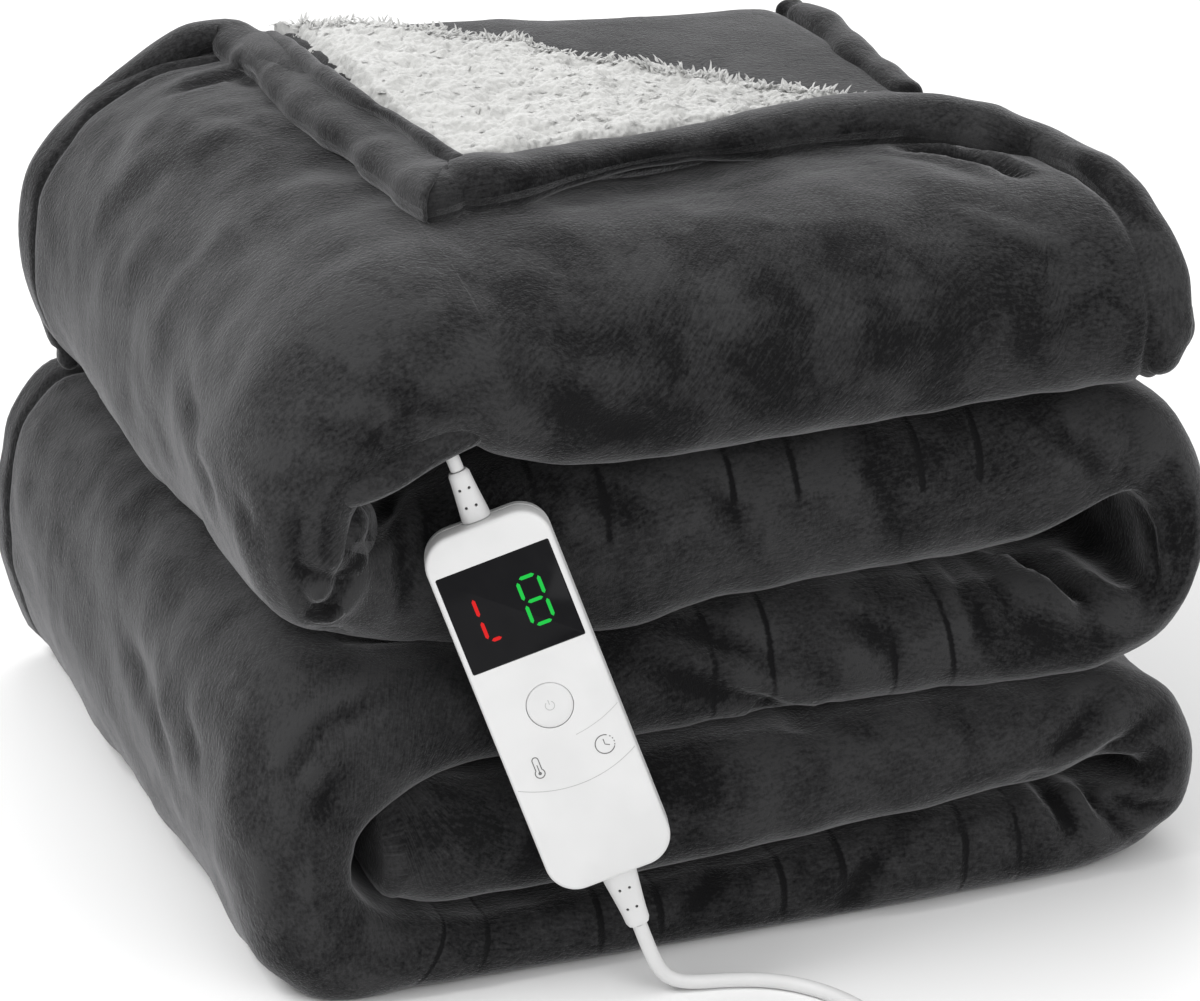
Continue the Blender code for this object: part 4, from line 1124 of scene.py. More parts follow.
# Puffy hem bands and the bulges in the folds' mouths, laid along the photograph's lines. Each has
# half its widths and half its heights in mm and the ways its top faces, all from start to end,
# which end is cut at the turned corner's mitre, and places: a pixel, an axis and where the
# pixel's ray meets that axis, in mm.
UPWARDS = (0.0, 0.0, 1.0)
MITRE = (442, 192, "z", 296)
MITRE_WAY = Vector((0.81, -0.58, 0.0))
MITRE_CALM = 0.030
ROLLS = (
    # hem band of the rear left edge, up over the bend and on as the turned corner's left leg
    ((6.0, 7.5, 9.0, 10.5, 12.5, 14.0, 15.5, 16.0, 15.5),
     (5.0, 6.0, 7.0, 8.0, 8.0, 8.3, 8.6, 9.0, 9.3),
     ((-1.0, 0.1, -0.2), (-1.0, 0.1, 0.5), (-0.2, 0.1, 1.0), UPWARDS, UPWARDS, UPWARDS), "end",
     ((66, 352, "y", 167), (47, 300, "y", 168), (40, 243, "y", 169), (47, 193, "y", 170),
      (74, 140, "y", 170), (112, 97, "y", 170), (158, 62, "y", 170), (198, 40, "y", 170),
      (226, 37, "z", 286), (243, 48, "z", 285), (260, 60, "z", 285), (281, 76, "z", 287),
      (306, 94, "z", 290), (349, 127, "z", 293), (396, 160, "z", 295), MITRE)),
    # its lumpy inner edge beside the fleece
    ((2.6, 3.4), (3.0, 4.2), (UPWARDS, UPWARDS), "",
     ((264, 37, "z", 288), (285, 50, "z", 294), (308, 66, "z", 299), (344, 92, "z", 303),
      (374, 109, "z", 304), (404, 126, "z", 305), (436, 150, "z", 305), (455, 165, "z", 303))),
    # its front leg, on over the right corner and down the right end's front
    ((15.5, 15.0, 14.5, 14.0, 13.5, 13.5, 11.5, 9.0, 7.0),
     (9.3, 9.3, 9.5, 10.0, 11.0, 12.5, 11.0, 9.0, 7.5),
     (UPWARDS, UPWARDS, UPWARDS, (0.2, -0.1, 1.0), (0.4, -0.6, 0.7), (0.45, -1.0, -0.2)),
     "start",
     (MITRE, (474, 184, "z", 297), (530, 173, "z", 297), (600, 158, "z", 297),
      (700, 141, "z", 297), (780, 128, "z", 297), (860, 119, "z", 296), (920, 119, "z", 294),
      (960, 124, "z", 292), (1000, 133, "z", 290), (1040, 147, "x", 163),
      (1068, 158, "x", 169), (1094, 172, "x", 172), (1123, 203, "x", 174),
      (1147, 240, "x", 175), (1162, 282, "x", 176), (1167, 326, "x", 176),
      (1160, 350, "x", 175))),
    # the middle sheet's end band at the rear right
    ((7.0, 8.5), (6.0, 7.5), (UPWARDS, UPWARDS), "",
     ((792, 14, "z", 270), (814, 23, "z", 271), (838, 40, "z", 272), (861, 61, "z", 273),
      (889, 82, "z", 272), (903, 94, "z", 272))),
    # the upper left mouth's rim that hangs over the lead
    ((8.0, 8.0), (9.5, 9.5), ((0.0, -1.0, 0.2), (0.0, -1.0, 0.2)), "",
     ((322, 486, "y", -178), (355, 484, "y", -182), (390, 470, "y", -183), (424, 450, "y", -182),
      (462, 430, "y", -180))),
)
# The bulges inside the upper left mouth, with painted shade as dark as in the rest of it.
MOUTH_ROLLS = (
    ((15.0, 15.0), (17.0, 15.0), (UPWARDS, UPWARDS), "",
     ((331, 540, "y", -170), (344, 537, "y", -140), (352, 530, "y", -90))),
    ((10.0, 9.0), (10.0, 9.0), (UPWARDS, UPWARDS), "",
     ((322, 600, "y", -174), (332, 594, "y", -150))),
)
ROLL_STEP = 0.0032
ROLL_POINTS = 28
ROLL_SQUARE = 2.5               # 2 would be an ellipse
CAP_STEPS = 6


def pixel_point(across, down, axis, value):
    """Where a pixel's ray meets a plane of the design frame."""
    ray = pixel_ray(across, down)
    eye = EYE + PLAN_CENTRE
    index = "xyz".index(axis)
    return eye + ray * ((value * MM - eye[index]) / ray[index])


def add_roll(mesh, roll, layers, dark=0.0):
    """Add a long cushion with rounded ends to the cloth; dark is its share of a mouth's painted
    shade.
    """
    widths, heights, ways_up, cut, pixels = roll
    strip, soft, hem, bend_shade = layers
    spine = smooth_route([pixel_point(*mark) for mark in pixels], ROLL_STEP)
    lead_in = (spine[0] - spine[1]).normalized() * widths[0] * MM
    lead_out = (spine[-1] - spine[-2]).normalized() * widths[-1] * MM
    caps = [math.sin(0.5 * math.pi * index / CAP_STEPS) for index in range(CAP_STEPS, 0, -1)]
    round_sizes = [(1.0 - min(1.0, cap) ** ROLL_SQUARE) ** (1.0 / ROLL_SQUARE) + 0.01
                   for cap in caps]
    first_sizes = [1.0] * CAP_STEPS if cut == "start" else round_sizes
    last_sizes = [1.0] * CAP_STEPS if cut == "end" else round_sizes
    count = len(spine)
    reach = 1.3 if cut else 1.0
    spots = [(spine[0] + lead_in * cap * reach, size, 0.0)
             for cap, size in zip(caps, first_sizes)]
    spots += [(point, 1.0, index / (count - 1)) for index, point in enumerate(spine)]
    spots += [(spine[-1] + lead_out * cap * reach, size, 1.0)
              for cap, size in zip(reversed(caps), reversed(last_sizes))]
    mitre = spine[0] if cut == "start" else spine[-1]
    way = MITRE_WAY if cut == "end" else -MITRE_WAY
    ways_up = [Vector(way_up).normalized() for way_up in ways_up]
    last = None
    for index, (spot, size, share) in enumerate(spots):
        before, after = spots[max(0, index - 1)][0], spots[min(len(spots) - 1, index + 1)][0]
        along = (after - before).normalized()
        turn = min(share * (len(ways_up) - 1), len(ways_up) - 1.001)
        up = ways_up[int(turn)].lerp(ways_up[int(turn) + 1], turn - int(turn))
        aside = along.cross(up).normalized()
        up = aside.cross(along)
        wobble = min(1.0, (spot - mitre).length / MITRE_CALM) if cut else 1.0
        wide = float(np.interp(share, spread(0.0, 1.0, len(widths)), widths)) * MM * size
        high = float(np.interp(share, spread(0.0, 1.0, len(heights)), heights)) * MM * size
        wide *= 1.0 + 0.10 * wobble * noise.noise(spot * 26.0)
        high *= 1.0 + 0.11 * wobble * noise.noise(spot * 31.0 + up)
        ring = []
        for corner in range(ROLL_POINTS):
            angle = 2.0 * math.pi * corner / ROLL_POINTS
            flat, tall = math.cos(angle), math.sin(angle)
            flat = math.copysign(abs(flat) ** (2.0 / ROLL_SQUARE), flat)
            tall = math.copysign(abs(tall) ** (2.0 / ROLL_SQUARE), tall)
            point = spot + aside * wide * flat + up * high * tall
            beyond = (point - mitre).dot(way) if cut else -1.0
            if beyond > 0.0:
                point -= along * (beyond / along.dot(way))
            vertex = mesh.verts.new(point - PLAN_CENTRE)
            vertex[strip] = (index * ROLL_STEP, angle * wide, 0.0)
            vertex[soft] = 1.0
            vertex[hem] = -1.0
            vertex[bend_shade] = dark
            ring.append(vertex)
        if last is None:
            mesh.faces.new(ring)
        else:
            bridge(mesh, last, ring)
        last = ring
    mesh.faces.new(last)


# Rows between which a side of the strip shows its stitched channels: side a, side b.
STITCHED_ROWS = (((33, 39), (46, 53)), ((18, 25), (33, 38), (47, 53)))
STITCHED_EASE = 0.02
# Rows between which a side of the strip is the inside of a bend and gets painted shade: side a,
# side b.
CAVE_ROWS = (((26, 32),), ((11, 17), (41, 46), (54, 58)))
CAVE_EASE = 0.03
# How dark the painted shade inside the bends is, as a share of the darkest.
CAVE_SHADE = 0.55


def zone_share(zones, ease, place_along, kind):
    """How far a place on a side of the strip lies inside zones, eased at their ends."""
    if kind not in (BESIDE_A, BESIDE_B):
        return 0.0
    share = 0.0
    for first, last in zones[0 if kind == BESIDE_A else 1]:
        start, end = KNOTS[first], KNOTS[last]
        inside = smooth_share(place_along, start, start + ease)
        share = max(share, inside * (1.0 - smooth_share(place_along, end - ease, end)))
    return share


def cloth_mesh():
    """The strip and its rolls as a bmesh, with layers for where on the strip each part is and its
    painted shade.
    """
    grid, kinds, places, rows = cloth_grid()
    count, size = grid.shape[:2]
    across = np.zeros((count, size))
    across[:, 1:] = np.cumsum(np.linalg.norm(np.diff(grid, axis=1), axis=2), axis=1)
    across -= across[:, -1:]
    mesh = bmesh.new()
    strip = mesh.verts.layers.float_vector.new("strip")
    soft = mesh.verts.layers.float.new("soft")
    hem = mesh.verts.layers.float.new("hem")
    bend_shade = mesh.verts.layers.float.new("bend_shade")
    rings = []
    for station in range(count):
        ring = []
        for index in range(size):
            vertex = mesh.verts.new(grid[station, index])
            stitched = zone_share(STITCHED_ROWS, STITCHED_EASE, places[station], kinds[index])
            vertex[strip] = (places[station], across[station, index], stitched)
            vertex[soft] = 0.0 if kinds[index] == INNER else 1.0
            depth = grid[station, index, 1] + PLAN_CENTRE.y
            vertex[hem] = rows[station]["rear"] - depth if kinds[index] == BESIDE_A else -1.0
            vertex[bend_shade] = zone_share(CAVE_ROWS, CAVE_EASE, places[station], kinds[index])
            ring.append(vertex)
        rings.append(ring)
    edge_station = next(i for i, row in enumerate(rows) if not is_bare(row)) - 1
    for station in range(count - 1):
        ring, other = rings[station], rings[station + 1]
        for index in range(size):
            if station == edge_station and FOLD_STEPS // 2 <= index < FLAP_POINTS - 1:
                continue
            after = (index + 1) % size
            mesh.faces.new((ring[index], ring[after], other[after], other[index]))
    for first, second in ((0, 1), (count - 1, count - 2)):
        last = rings[first]
        for points in rounded_end(grid[first], grid[second]):
            ring = []
            for source, point in zip(rings[first], points):
                vertex = mesh.verts.new(point)
                for layer in (strip, soft, hem):
                    vertex[layer] = source[layer]
                ring.append(vertex)
            bridge(mesh, last, ring)
            last = ring
        mesh.faces.new(last)
    bmesh.ops.remove_doubles(mesh, verts=mesh.verts[:], dist=0.00004)
    for roll in ROLLS:
        add_roll(mesh, roll, (strip, soft, hem, bend_shade))
    for roll in MOUTH_ROLLS:
        add_roll(mesh, roll, (strip, soft, hem, bend_shade), 1.0)
    bmesh.ops.recalc_face_normals(mesh, faces=mesh.faces[:])
    return mesh


def field(points, size, shift):
    """Smooth noise at points, about -0.5 to 0.5, with details of a size."""
    scale = 1.0 / size
    return np.array([noise.noise(Vector(point) * scale + shift) for point in points])


# Broad unevenness: how far, the size of its details, and where in the noise it is taken.
BUMPS = ((0.0042, 0.085, (3.1, 0.0, 0.0)), (0.0020, 0.036, (0.0, 7.7, 0.0)),
         (0.0009, 0.017, (0.0, 0.0, 5.3)))
HEM_GROOVE = 0.0022
HEM_HALF = 0.0026
PUCKER = 0.0009                 # how deep the cloth draws in beside a stitch line
PUCKER_HALF = 0.0070
CREASE_SHADE_DEPTH = 0.0035            # a crease this deep gets the darkest painted shade
RIDGE_PAINTED_LIGHT = -0.5              # the most painted light that a ridge gets
DAMP_CASE = 0.060               # nearer than this to the case's middle line the cloth stays calm
DAMP_FULL = 0.028               # and nearer than this it doesn't swell at all
DAMP_FLOOR = 0.012              # height over the floor from which the cloth is uneven in full
TRACE_STEPS = 8                 # between two pixels of a crease
CREASE_REACH = 3.5              # in half widths: how far a crease is felt
CREASE_RIM = 0.35               # its raised rim, in depths
CREASE_RIM_AT = 1.9             # in half widths: where the rim runs

# Creases traced on the photograph: half width and depth in mm (ridges negative), then the pixels
# they run through.
# Their depths also set painted shade in the creases and painted light on the ridges.
CREASES = (
    # the fold's pocket beside the turned corner's left leg
    (6.0, 3.5, ((175, 88), (205, 78), (235, 72), (256, 82))),
    (5.0, 1.5, ((200, 110), (240, 118), (280, 135))),
    # top layer
    (4.5, 5.5, ((905, 147), (950, 151), (990, 158), (1024, 169))),
    (5.0, 1.6, ((815, 262), (850, 245), (890, 248))),
    (5.0, 1.8, ((930, 195), (985, 205), (1040, 222))),
    (4.0, 1.2, ((985, 235), (1030, 250), (1085, 262))),
    (7.0, 2.0, ((540, 330), (600, 345), (650, 335))),
    (6.0, 1.8, ((290, 425), (340, 432), (400, 436))),
    (7.0, 2.0, ((380, 395), (440, 405), (500, 385))),
    (8.0, 2.0, ((560, 400), (600, 420), (660, 425))),
    # upper left bend's front: the outer wall's inner edge and wrinkles
    (4.5, 5.0, ((388, 498), (382, 515), (368, 545), (352, 568), (340, 592), (318, 622))),
    (3.5, 3.0, ((297, 567), (320, 578), (345, 577))),
    (3.2, 2.8, ((298, 515), (293, 545), (296, 572), (303, 594), (316, 620))),
    (3.0, 2.4, ((312, 628), (345, 640), (390, 642), (440, 636))),
    (4.0, 3.0, ((394, 502), (399, 540), (404, 580), (408, 622))),
    (4.0, 1.6, ((430, 505), (425, 530), (422, 560))),
    # second layer
    (6.0, 2.0, ((560, 470), (600, 500), (640, 512))),
    (5.0, 2.2, ((690, 470), (735, 515), (760, 560))),
    (5.0, 2.2, ((860, 450), (885, 490), (890, 530))),
    (5.0, 2.0, ((1040, 420), (1080, 450), (1110, 490))),
    (4.0, 2.0, ((1120, 400), (1135, 440), (1125, 480))),
    # third layer
    (7.5, -6.0, ((984, 558), (1012, 576), (1045, 594), (1084, 612))),
    (5.0, 6.0, ((1012, 556), (1036, 574), (1062, 588), (1098, 604))),
    (7.0, -6.0, ((1046, 548), (1070, 566), (1100, 592), (1140, 626))),
    (4.0, 3.0, ((950, 562), (962, 586), (976, 612), (986, 640))),
    (6.0, -3.0, ((650, 650), (740, 675), (840, 710))),
    (5.0, 3.0, ((655, 668), (735, 695), (800, 722))),
    (5.0, 2.4, ((700, 628), (745, 650), (790, 690))),
    (5.0, 2.2, ((840, 610), (880, 640), (905, 680))),
    # fourth and fifth layers
    (5.0, 3.0, ((1105, 690), (1075, 735), (1050, 757))),
    (5.0, 2.6, ((1165, 710), (1130, 745), (1105, 760))),
    # concentric wrinkles inside the right bends
    (2.5, 1.6, ((1150, 470), (1170, 515), (1175, 565), (1160, 612))),
    (2.5, 1.6, ((1132, 486), (1152, 530), (1157, 575), (1142, 612))),
    (2.5, 1.4, ((1166, 462), (1184, 510), (1188, 560), (1174, 606))),
    (5.0, 5.0, ((1035, 778), (1060, 802), (1076, 825))),
    (5.0, -3.0, ((1060, 780), (1085, 812), (1112, 846))),
    (3.5, 4.0, ((1085, 782), (1100, 805), (1140, 846))),
    (3.5, 3.5, ((1102, 788), (1140, 810), (1172, 808))),
    (5.0, 2.4, ((690, 920), (700, 890), (720, 870))),
    (5.0, 2.4, ((850, 900), (870, 870), (880, 850))),
    # left faces
    (8.0, 2.8, ((185, 400), (195, 415), (205, 425))),
    (7.0, 2.6, ((198, 462), (205, 478), (212, 488))),
    (7.0, 2.2, ((235, 500), (245, 515), (250, 530))),
    (8.0, 2.8, ((185, 732), (192, 745), (200, 760))),
    (9.0, 2.4, ((120, 640), (150, 700), (165, 760))),
    # lower left bend's front: wrinkles across the wall
    (4.0, 2.4, ((372, 700), (330, 722), (300, 760), (288, 800))),
    (5.0, 2.2, ((345, 770), (318, 800), (300, 840))),
    (5.0, 2.0, ((300, 850), (285, 880), (290, 915))),
)


def traced(points, tree):
    """Points on the cloth under a line of the photograph's pixels."""
    found = []
    for (x, y), (next_x, next_y) in zip(points, points[1:]):
        for index in range(TRACE_STEPS + 1):
            share = index / TRACE_STEPS
            ray = pixel_ray(x + (next_x - x) * share, y + (next_y - y) * share)
            hit = tree.ray_cast(EYE, ray)[0]
            if hit is not None:
                found.append(hit)
    return found


def crease_depths(places, normals, tree):
    """How far the traced creases push each place in."""
    depths = np.zeros(len(places))
    for half, depth, pixels in CREASES:
        found = traced(pixels, tree)
        if len(found) < 2:
            continue
        line = np.array(found)
        reach = CREASE_REACH * half * MM
        low, high = line.min(0) - reach, line.max(0) + reach
        near = np.where(((places > low) & (places < high)).all(1))[0]
        if not len(near):
            continue
        away = np.linalg.norm(places[near][:, None] - line[None], axis=2)
        ends = np.minimum(1.0, np.minimum(away.argmin(1), len(line) - 1 - away.argmin(1)) / 4.0)
        away = away.min(1) / (half * MM)
        rim = CREASE_RIM * np.exp(-(away - CREASE_RIM_AT) ** 2 / 0.8)
        shape = np.exp(-away ** 2) - rim
        facing = np.clip(normals[near] @ np.array(BACK) * 3.0 + 0.4, 0.0, 1.0)
        depths[near] += depth * MM * shape * (0.35 + 0.65 * ends) * facing
    return depths


def build_cloth():
    """The one-piece cloth."""
    mesh = cloth_mesh()
    data = bpy.data.meshes.new("blanket_cloth")
    tree = BVHTree.FromBMesh(mesh)
    mesh.to_mesh(data)
    mesh.free()
    places = read_values(data.vertices, "co", 3)
    normals = read_values(data.vertices, "normal", 3)
    soft, hem, bend_shade = (read_values(data.attributes[name].data, "value")
                       for name in ("soft", "hem", "bend_shade"))
    along, _, stitched = read_values(data.attributes["strip"].data, "vector", 3).T

    push = np.zeros(len(places))
    for height, size, shift in BUMPS:
        push += height * field(places, size, Vector(shift))
    groove = np.exp(-((hem - HEM_WIDTH) / HEM_HALF) ** 2)
    groove = np.maximum(groove, np.exp(-((along - HEM_WIDTH) / HEM_HALF) ** 2) * (soft > 0.5))
    push -= HEM_GROOVE * groove
    turn = (along / STITCH_PERIOD) % 1.0
    pucker = np.zeros(len(places))
    for middle in STITCH_LINES:
        pucker += np.exp(-(np.abs(turn - middle) * STITCH_PERIOD / PUCKER_HALF) ** 2)
    push -= PUCKER * pucker * stitched
    creases = crease_depths(places, normals, tree)
    push -= creases
    # Painted shade in creases and inside the bends, painted light on ridges, kept in the deep
    # attribute.
    deep = data.attributes.new("deep", "FLOAT", "POINT")
    dark = np.clip(creases / CREASE_SHADE_DEPTH, RIDGE_PAINTED_LIGHT, 1.0) + CAVE_SHADE * bend_shade
    deep.data.foreach_set("value", np.minimum(dark, 1.0))
    middle_line = np.array(CASE.to_3x3() @ Vector((0.0, 0.0, 1.0)))
    offset = places - np.array(CASE @ Vector((0.0, 0.0, 0.0)))
    aside = np.linalg.norm(offset - np.outer(offset @ middle_line, middle_line), axis=1)
    calm = np.clip((aside - DAMP_FULL) / (DAMP_CASE - DAMP_FULL), 0.0, 1.0)
    push = np.minimum(push, 0.0) * (0.4 + 0.6 * calm) + np.maximum(push, 0.0) * calm
    above = np.clip(places[:, 2] / DAMP_FLOOR, 0.0, 1.0)
    places = places + normals * (push * soft * above)[:, None]
    places[:, 2] = np.maximum(places[:, 2], 0.0)
    data.vertices.foreach_set("co", places.ravel())
    data.update()
    data.materials.append(FLANNEL)
    data.shade_smooth()
    cloth = add_object("blanket_cloth", data)
    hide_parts("blanket")
    return cloth


CLOTH = build_cloth()


# ---------------------------------------------------------------- sherpa on the turned corner
SHERPA_FIRST = FLAP_X + 0.023
SHERPA_FROM = 0.0150            # behind the front edge, under the hem band
SHERPA_LAST = 0.108
SHERPA_COLUMNS = 280
SHERPA_ACROSS = 190
SHERPA_UNDER = 16               # of those, round the fold
SHERPA_SUNK = 0.002             # its edges lie this far below the cloth's face
FLAT_LOCKS = 700
CREST_LOCKS = 1000
LOCK_LENGTH = 0.0036
LOCK_WIDTH = 0.00095
LOCK_SEED = 11
FLAT_RISE = 0.12                # how much a lock stands up
CREST_RISE = 0.6


def sherpa_line(row):
    """The lining's upper face at one station, as (depth, lift), from the hem to below the fold."""
    x = row["x_a"]
    reach = fold_reach(x)
    flat = flap_fold(x) - reach
    base = flap_lift(x) + FLAP_CORE
    thick = SHERPA_THICK * (1.0 - 0.30 * smooth_share(x, -0.010, 0.050))
    front = flap_front(x) + SHERPA_FROM
    left = 1.0 - smooth_share(x, SHERPA_LAST - 0.020, SHERPA_LAST + 0.002)
    side = min(smooth_share(x, SHERPA_FIRST - 0.002, SHERPA_FIRST + 0.006), left)
    line = []
    steps = SHERPA_ACROSS - SHERPA_UNDER
    for index in range(steps):
        y = front + (flat - front) * index / (steps - 1)
        rise = smooth_share(y, front - 0.002, front + 0.006)
        line.append((y, base - SHERPA_SUNK + (thick + SHERPA_SUNK) * min(rise, side)))
    grow = thick * 1.3 * left
    top, bottom = base + thick * left, -SHEET - 0.0005
    middle, half = 0.5 * (top + bottom), 0.5 * (top - bottom)
    for index in range(SHERPA_UNDER):
        angle = math.radians(86.0 - 150.0 * index / (SHERPA_UNDER - 1))
        line.append((flat + (reach + grow) * math.cos(angle), middle + half * math.sin(angle)))
    return line


def build_sherpa():
    """The white lining: a lumpy fleece face with short locks, most of them along the fold."""
    rows = rows_at([place_of_x(x) for x in spread(SHERPA_FIRST, SHERPA_LAST, SHERPA_COLUMNS)])
    mesh = bmesh.new()
    rings = []
    for row in rows:
        line = sherpa_line(row)
        points = [place(row, y, 1.0, lift) for y, lift in line]
        inner = [place(row, y - 0.002, 1.0, lift - 0.004) for y, lift in reversed(line[::14])]
        rings.append([mesh.verts.new(point) for point in points + inner])
    join_rings(mesh, rings)
    bmesh.ops.recalc_face_normals(mesh, faces=mesh.faces[:])
    mesh.normal_update()
    tops = [vertex for ring in rings for vertex in ring[:SHERPA_ACROSS]]
    for vertex in tops:
        spot = vertex.co
        lump = 0.0030 * noise.noise(spot * 45.0) + 0.0024 * noise.noise(spot * 120.0)
        lump += 0.0016 * abs(noise.noise(spot * 260.0)) + 0.0008 * noise.noise(spot * 520.0)
        vertex.co = spot + vertex.normal * lump
    mesh.normal_update()
    flat = [(vertex.co.copy(), vertex.normal.copy()) for vertex in tops]
    crest = [(vertex.co.copy(), vertex.normal.copy()) for ring in rings
             for vertex in ring[SHERPA_ACROSS - 24:SHERPA_ACROSS - 8]]
    chance = random.Random(LOCK_SEED)
    add_locks(mesh, flat, FLAT_LOCKS, FLAT_RISE, chance)
    add_locks(mesh, crest, CREST_LOCKS, CREST_RISE, chance)
    sherpa = mesh_object("sherpa_fleece", mesh, SHERPA, sharp=80.0)
    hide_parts("sherpa_lining")
    return sherpa


def add_locks(mesh, roots, number, rise, chance):
    """Short tapering locks of pile on places with normals; rise is how much they stand up."""
    for _ in range(number):
        root, normal = roots[chance.randrange(len(roots))]
        root = root + Vector([chance.uniform(-0.0014, 0.0014) for _ in range(3)])
        swirl = noise.noise_vector(root * 60.0) + Vector([chance.gauss(0, 0.3) for _ in range(3)])
        lean = swirl - normal * swirl.dot(normal)
        lean = lean.normalized() if lean.length > 1e-6 else normal.orthogonal().normalized()
        side = normal.cross(lean).normalized()
        length = LOCK_LENGTH * chance.uniform(0.6, 1.25)
        width = LOCK_WIDTH * chance.uniform(0.7, 1.3)
        rings = []
        for step in range(3):
            share = step / 3.0
            spine = root - normal * 0.0004
            spine = spine + normal * length * rise * math.sin(1.8 * share)
            spine = spine + lean * length * share
            wide = width * (1.0 - 0.75 * share)
            ring = []
            for corner in range(3):
                angle = 2.0 * math.pi * corner / 3.0 + share
                ring.append(mesh.verts.new(spine + side * wide * math.cos(angle)
                                           + lean * wide * math.sin(angle)))
            rings.append(ring)
        tip = mesh.verts.new(root + normal * length * rise * 0.9 + lean * length)
        for ring, other in zip(rings, rings[1:]):
            bridge(mesh, ring, other)
        for corner in range(3):
            mesh.faces.new((rings[-1][corner], rings[-1][(corner + 1) % 3], tip))


FLEECE = build_sherpa()


# ---------------------------------------------------------------- controller
WINDOW_WIDTH = 0.0460
WINDOW_LENGTH = 0.0407
WINDOW_HEIGHT = 0.0413
WINDOW_THICK = 0.0015
WINDOW_CORNER = 0.0008
BUTTON_RADIUS = 0.0091
BUTTON_HEIGHT = -0.0010
BUTTON_THICK = 0.0030
BUTTON_TRAVEL = 0.0008
BUTTON_ROOM = 0.0004
BUTTON_ASIDE = 0.00022          # between the key and its hole
POCKET_ROOM = 0.0003            # the window's pocket is this much wider and longer
CUT_FROM = -0.002               # cutting shapes start this far in front of the face
CORNER_STEPS = 16
WINDOW_STEPS = 4
BUTTON_STEPS = 18
HOLE_STEPS = 72
# Rings of (depth, inset) from the face backwards.
FRONT_RINGS = ((0.0, 0.0018), (0.0001, 0.0012), (0.0005, 0.0006), (0.0010, 0.0003),
               (0.0018, 0.0001), (0.0030, 0.0), (CASE_PARTING - 0.0003, 0.0),
               (CASE_PARTING, 0.0003))
BACK_RINGS = ((CASE_PARTING + GAP, 0.0003), (CASE_PARTING + 2 * GAP, 0.0), (0.0150, 0.0001),
              (0.0168, 0.0006), (0.0182, 0.0016), (0.0192, 0.0030), (0.0198, 0.0044),
              (CASE_DEPTH, 0.0060))
WINDOW_RINGS = ((0.0, 0.00025), (0.0001, 0.0001), (0.0003, 0.0), (WINDOW_THICK, 0.0))
BUTTON_RINGS = ((-0.00032, 0.0048), (-0.00030, 0.0030), (-0.00022, 0.0016), (-0.0001, 0.0008),
                (0.0001, 0.0003), (0.0004, 0.0), (BUTTON_THICK, 0.0))


def plate_mesh(width, length, corner, rings, steps=CORNER_STEPS, height=0.0):
    """A rounded plate from rings of (depth, inset), in the case's axes."""
    loops = []
    for depth, inset in rings:
        round_corner = max(corner - inset, 0.0001)
        outline = rounded_outline(width - 2.0 * inset, length - 2.0 * inset, round_corner, steps)
        loops.append([Vector((x, depth, z + height)) for x, z in outline])
    mesh = ring_mesh(loops)
    bmesh.ops.remove_doubles(mesh, verts=mesh.verts[:], dist=0.00002)
    return mesh


def case_piece(name, mesh, material, body=BODY):
    """A piece built in the case's axes, put in its place."""
    mesh.transform(CASE)
    piece = mesh_object(name, mesh, material, body)
    return piece


def cut_out(thing, meshes):
    """Take the shapes of meshes, in the case's axes, out of a thing for good."""
    for mesh in meshes:
        mesh.transform(CASE)
        bmesh.ops.recalc_face_normals(mesh, faces=mesh.faces[:])
        data = bpy.data.meshes.new("cutter")
        mesh.to_mesh(data)
        mesh.free()
        cutter = new_object("cutter", data)
        modifier = thing.modifiers.new("cut", "BOOLEAN")
        modifier.operation = "DIFFERENCE"
        modifier.solver = "EXACT"
        modifier.object = cutter
        bpy.context.view_layer.update()
        cut = bpy.data.meshes.new_from_object(
            thing.evaluated_get(bpy.context.evaluated_depsgraph_get()))
        thing.modifiers.remove(modifier)
        thing.data = cut
        bpy.data.objects.remove(cutter)
    thing.data.shade_smooth()
    thing.data.set_sharp_from_angle(angle=math.radians(30.0))


def disc_mesh(radius, low, high, centre, steps):
    """A disc along the case's depth, between two depths."""
    loops = []
    for depth in (low, high):
        loop = []
        for index in range(steps):
            angle = 2.0 * math.pi * index / steps
            loop.append(Vector((centre[0] + radius * math.cos(angle), depth,
                                centre[1] + radius * math.sin(angle))))
        loops.append(loop)
    return ring_mesh(loops)


def stroke_mesh(mesh, points, width, depth=-0.00006, closed=False):
    """A thin printed line through (x, z) points on the case's face, added to a bmesh."""
    corners = [Vector((x, 0.0, z)) for x, z in points]
    count = len(corners)
    rails = []
    for index, corner in enumerate(corners):
        if closed:
            before, after = corners[index - 1], corners[(index + 1) % count]
        else:
            before, after = corners[max(0, index - 1)], corners[min(count - 1, index + 1)]
        along = (after - before).normalized()
        aside = Vector((along.z, 0.0, -along.x)) * 0.5 * width
        face = Vector((0.0, depth, 0.0))
        base = Vector((0.0, 0.0002, 0.0))
        rails.append([mesh.verts.new(corner + offset) for offset in
                      (aside + face, -aside + face, -aside + base, aside + base)])
    if closed:
        for rail, other in zip(rails, rails[1:] + rails[:1]):
            bridge(mesh, rail, other)
    else:
        join_rings(mesh, rails)


def arc(centre, radius, start, end, count):
    """(x, z) points on a circle's arc, angles in degrees from +x."""
    points = []
    for angle in spread(math.radians(start), math.radians(end), count):
        points.append((centre[0] + radius * math.cos(angle),
                       centre[1] + radius * math.sin(angle)))
    return points


SEGMENT_HALF = 0.00072
SEGMENTS = {
    "top": ((0, 1), (1, 1)), "middle": ((0, 0.5), (1, 0.5)), "bottom": ((0, 0), (1, 0)),
    "upper_left": ((0, 0.5), (0, 1)), "upper_right": ((1, 0.5), (1, 1)),
    "lower_left": ((0, 0), (0, 0.5)), "lower_right": ((1, 0), (1, 0.5)),
}
LEVEL_LETTER = ("upper_left", "lower_left", "bottom")
LEVEL_DIGIT = tuple(SEGMENTS)


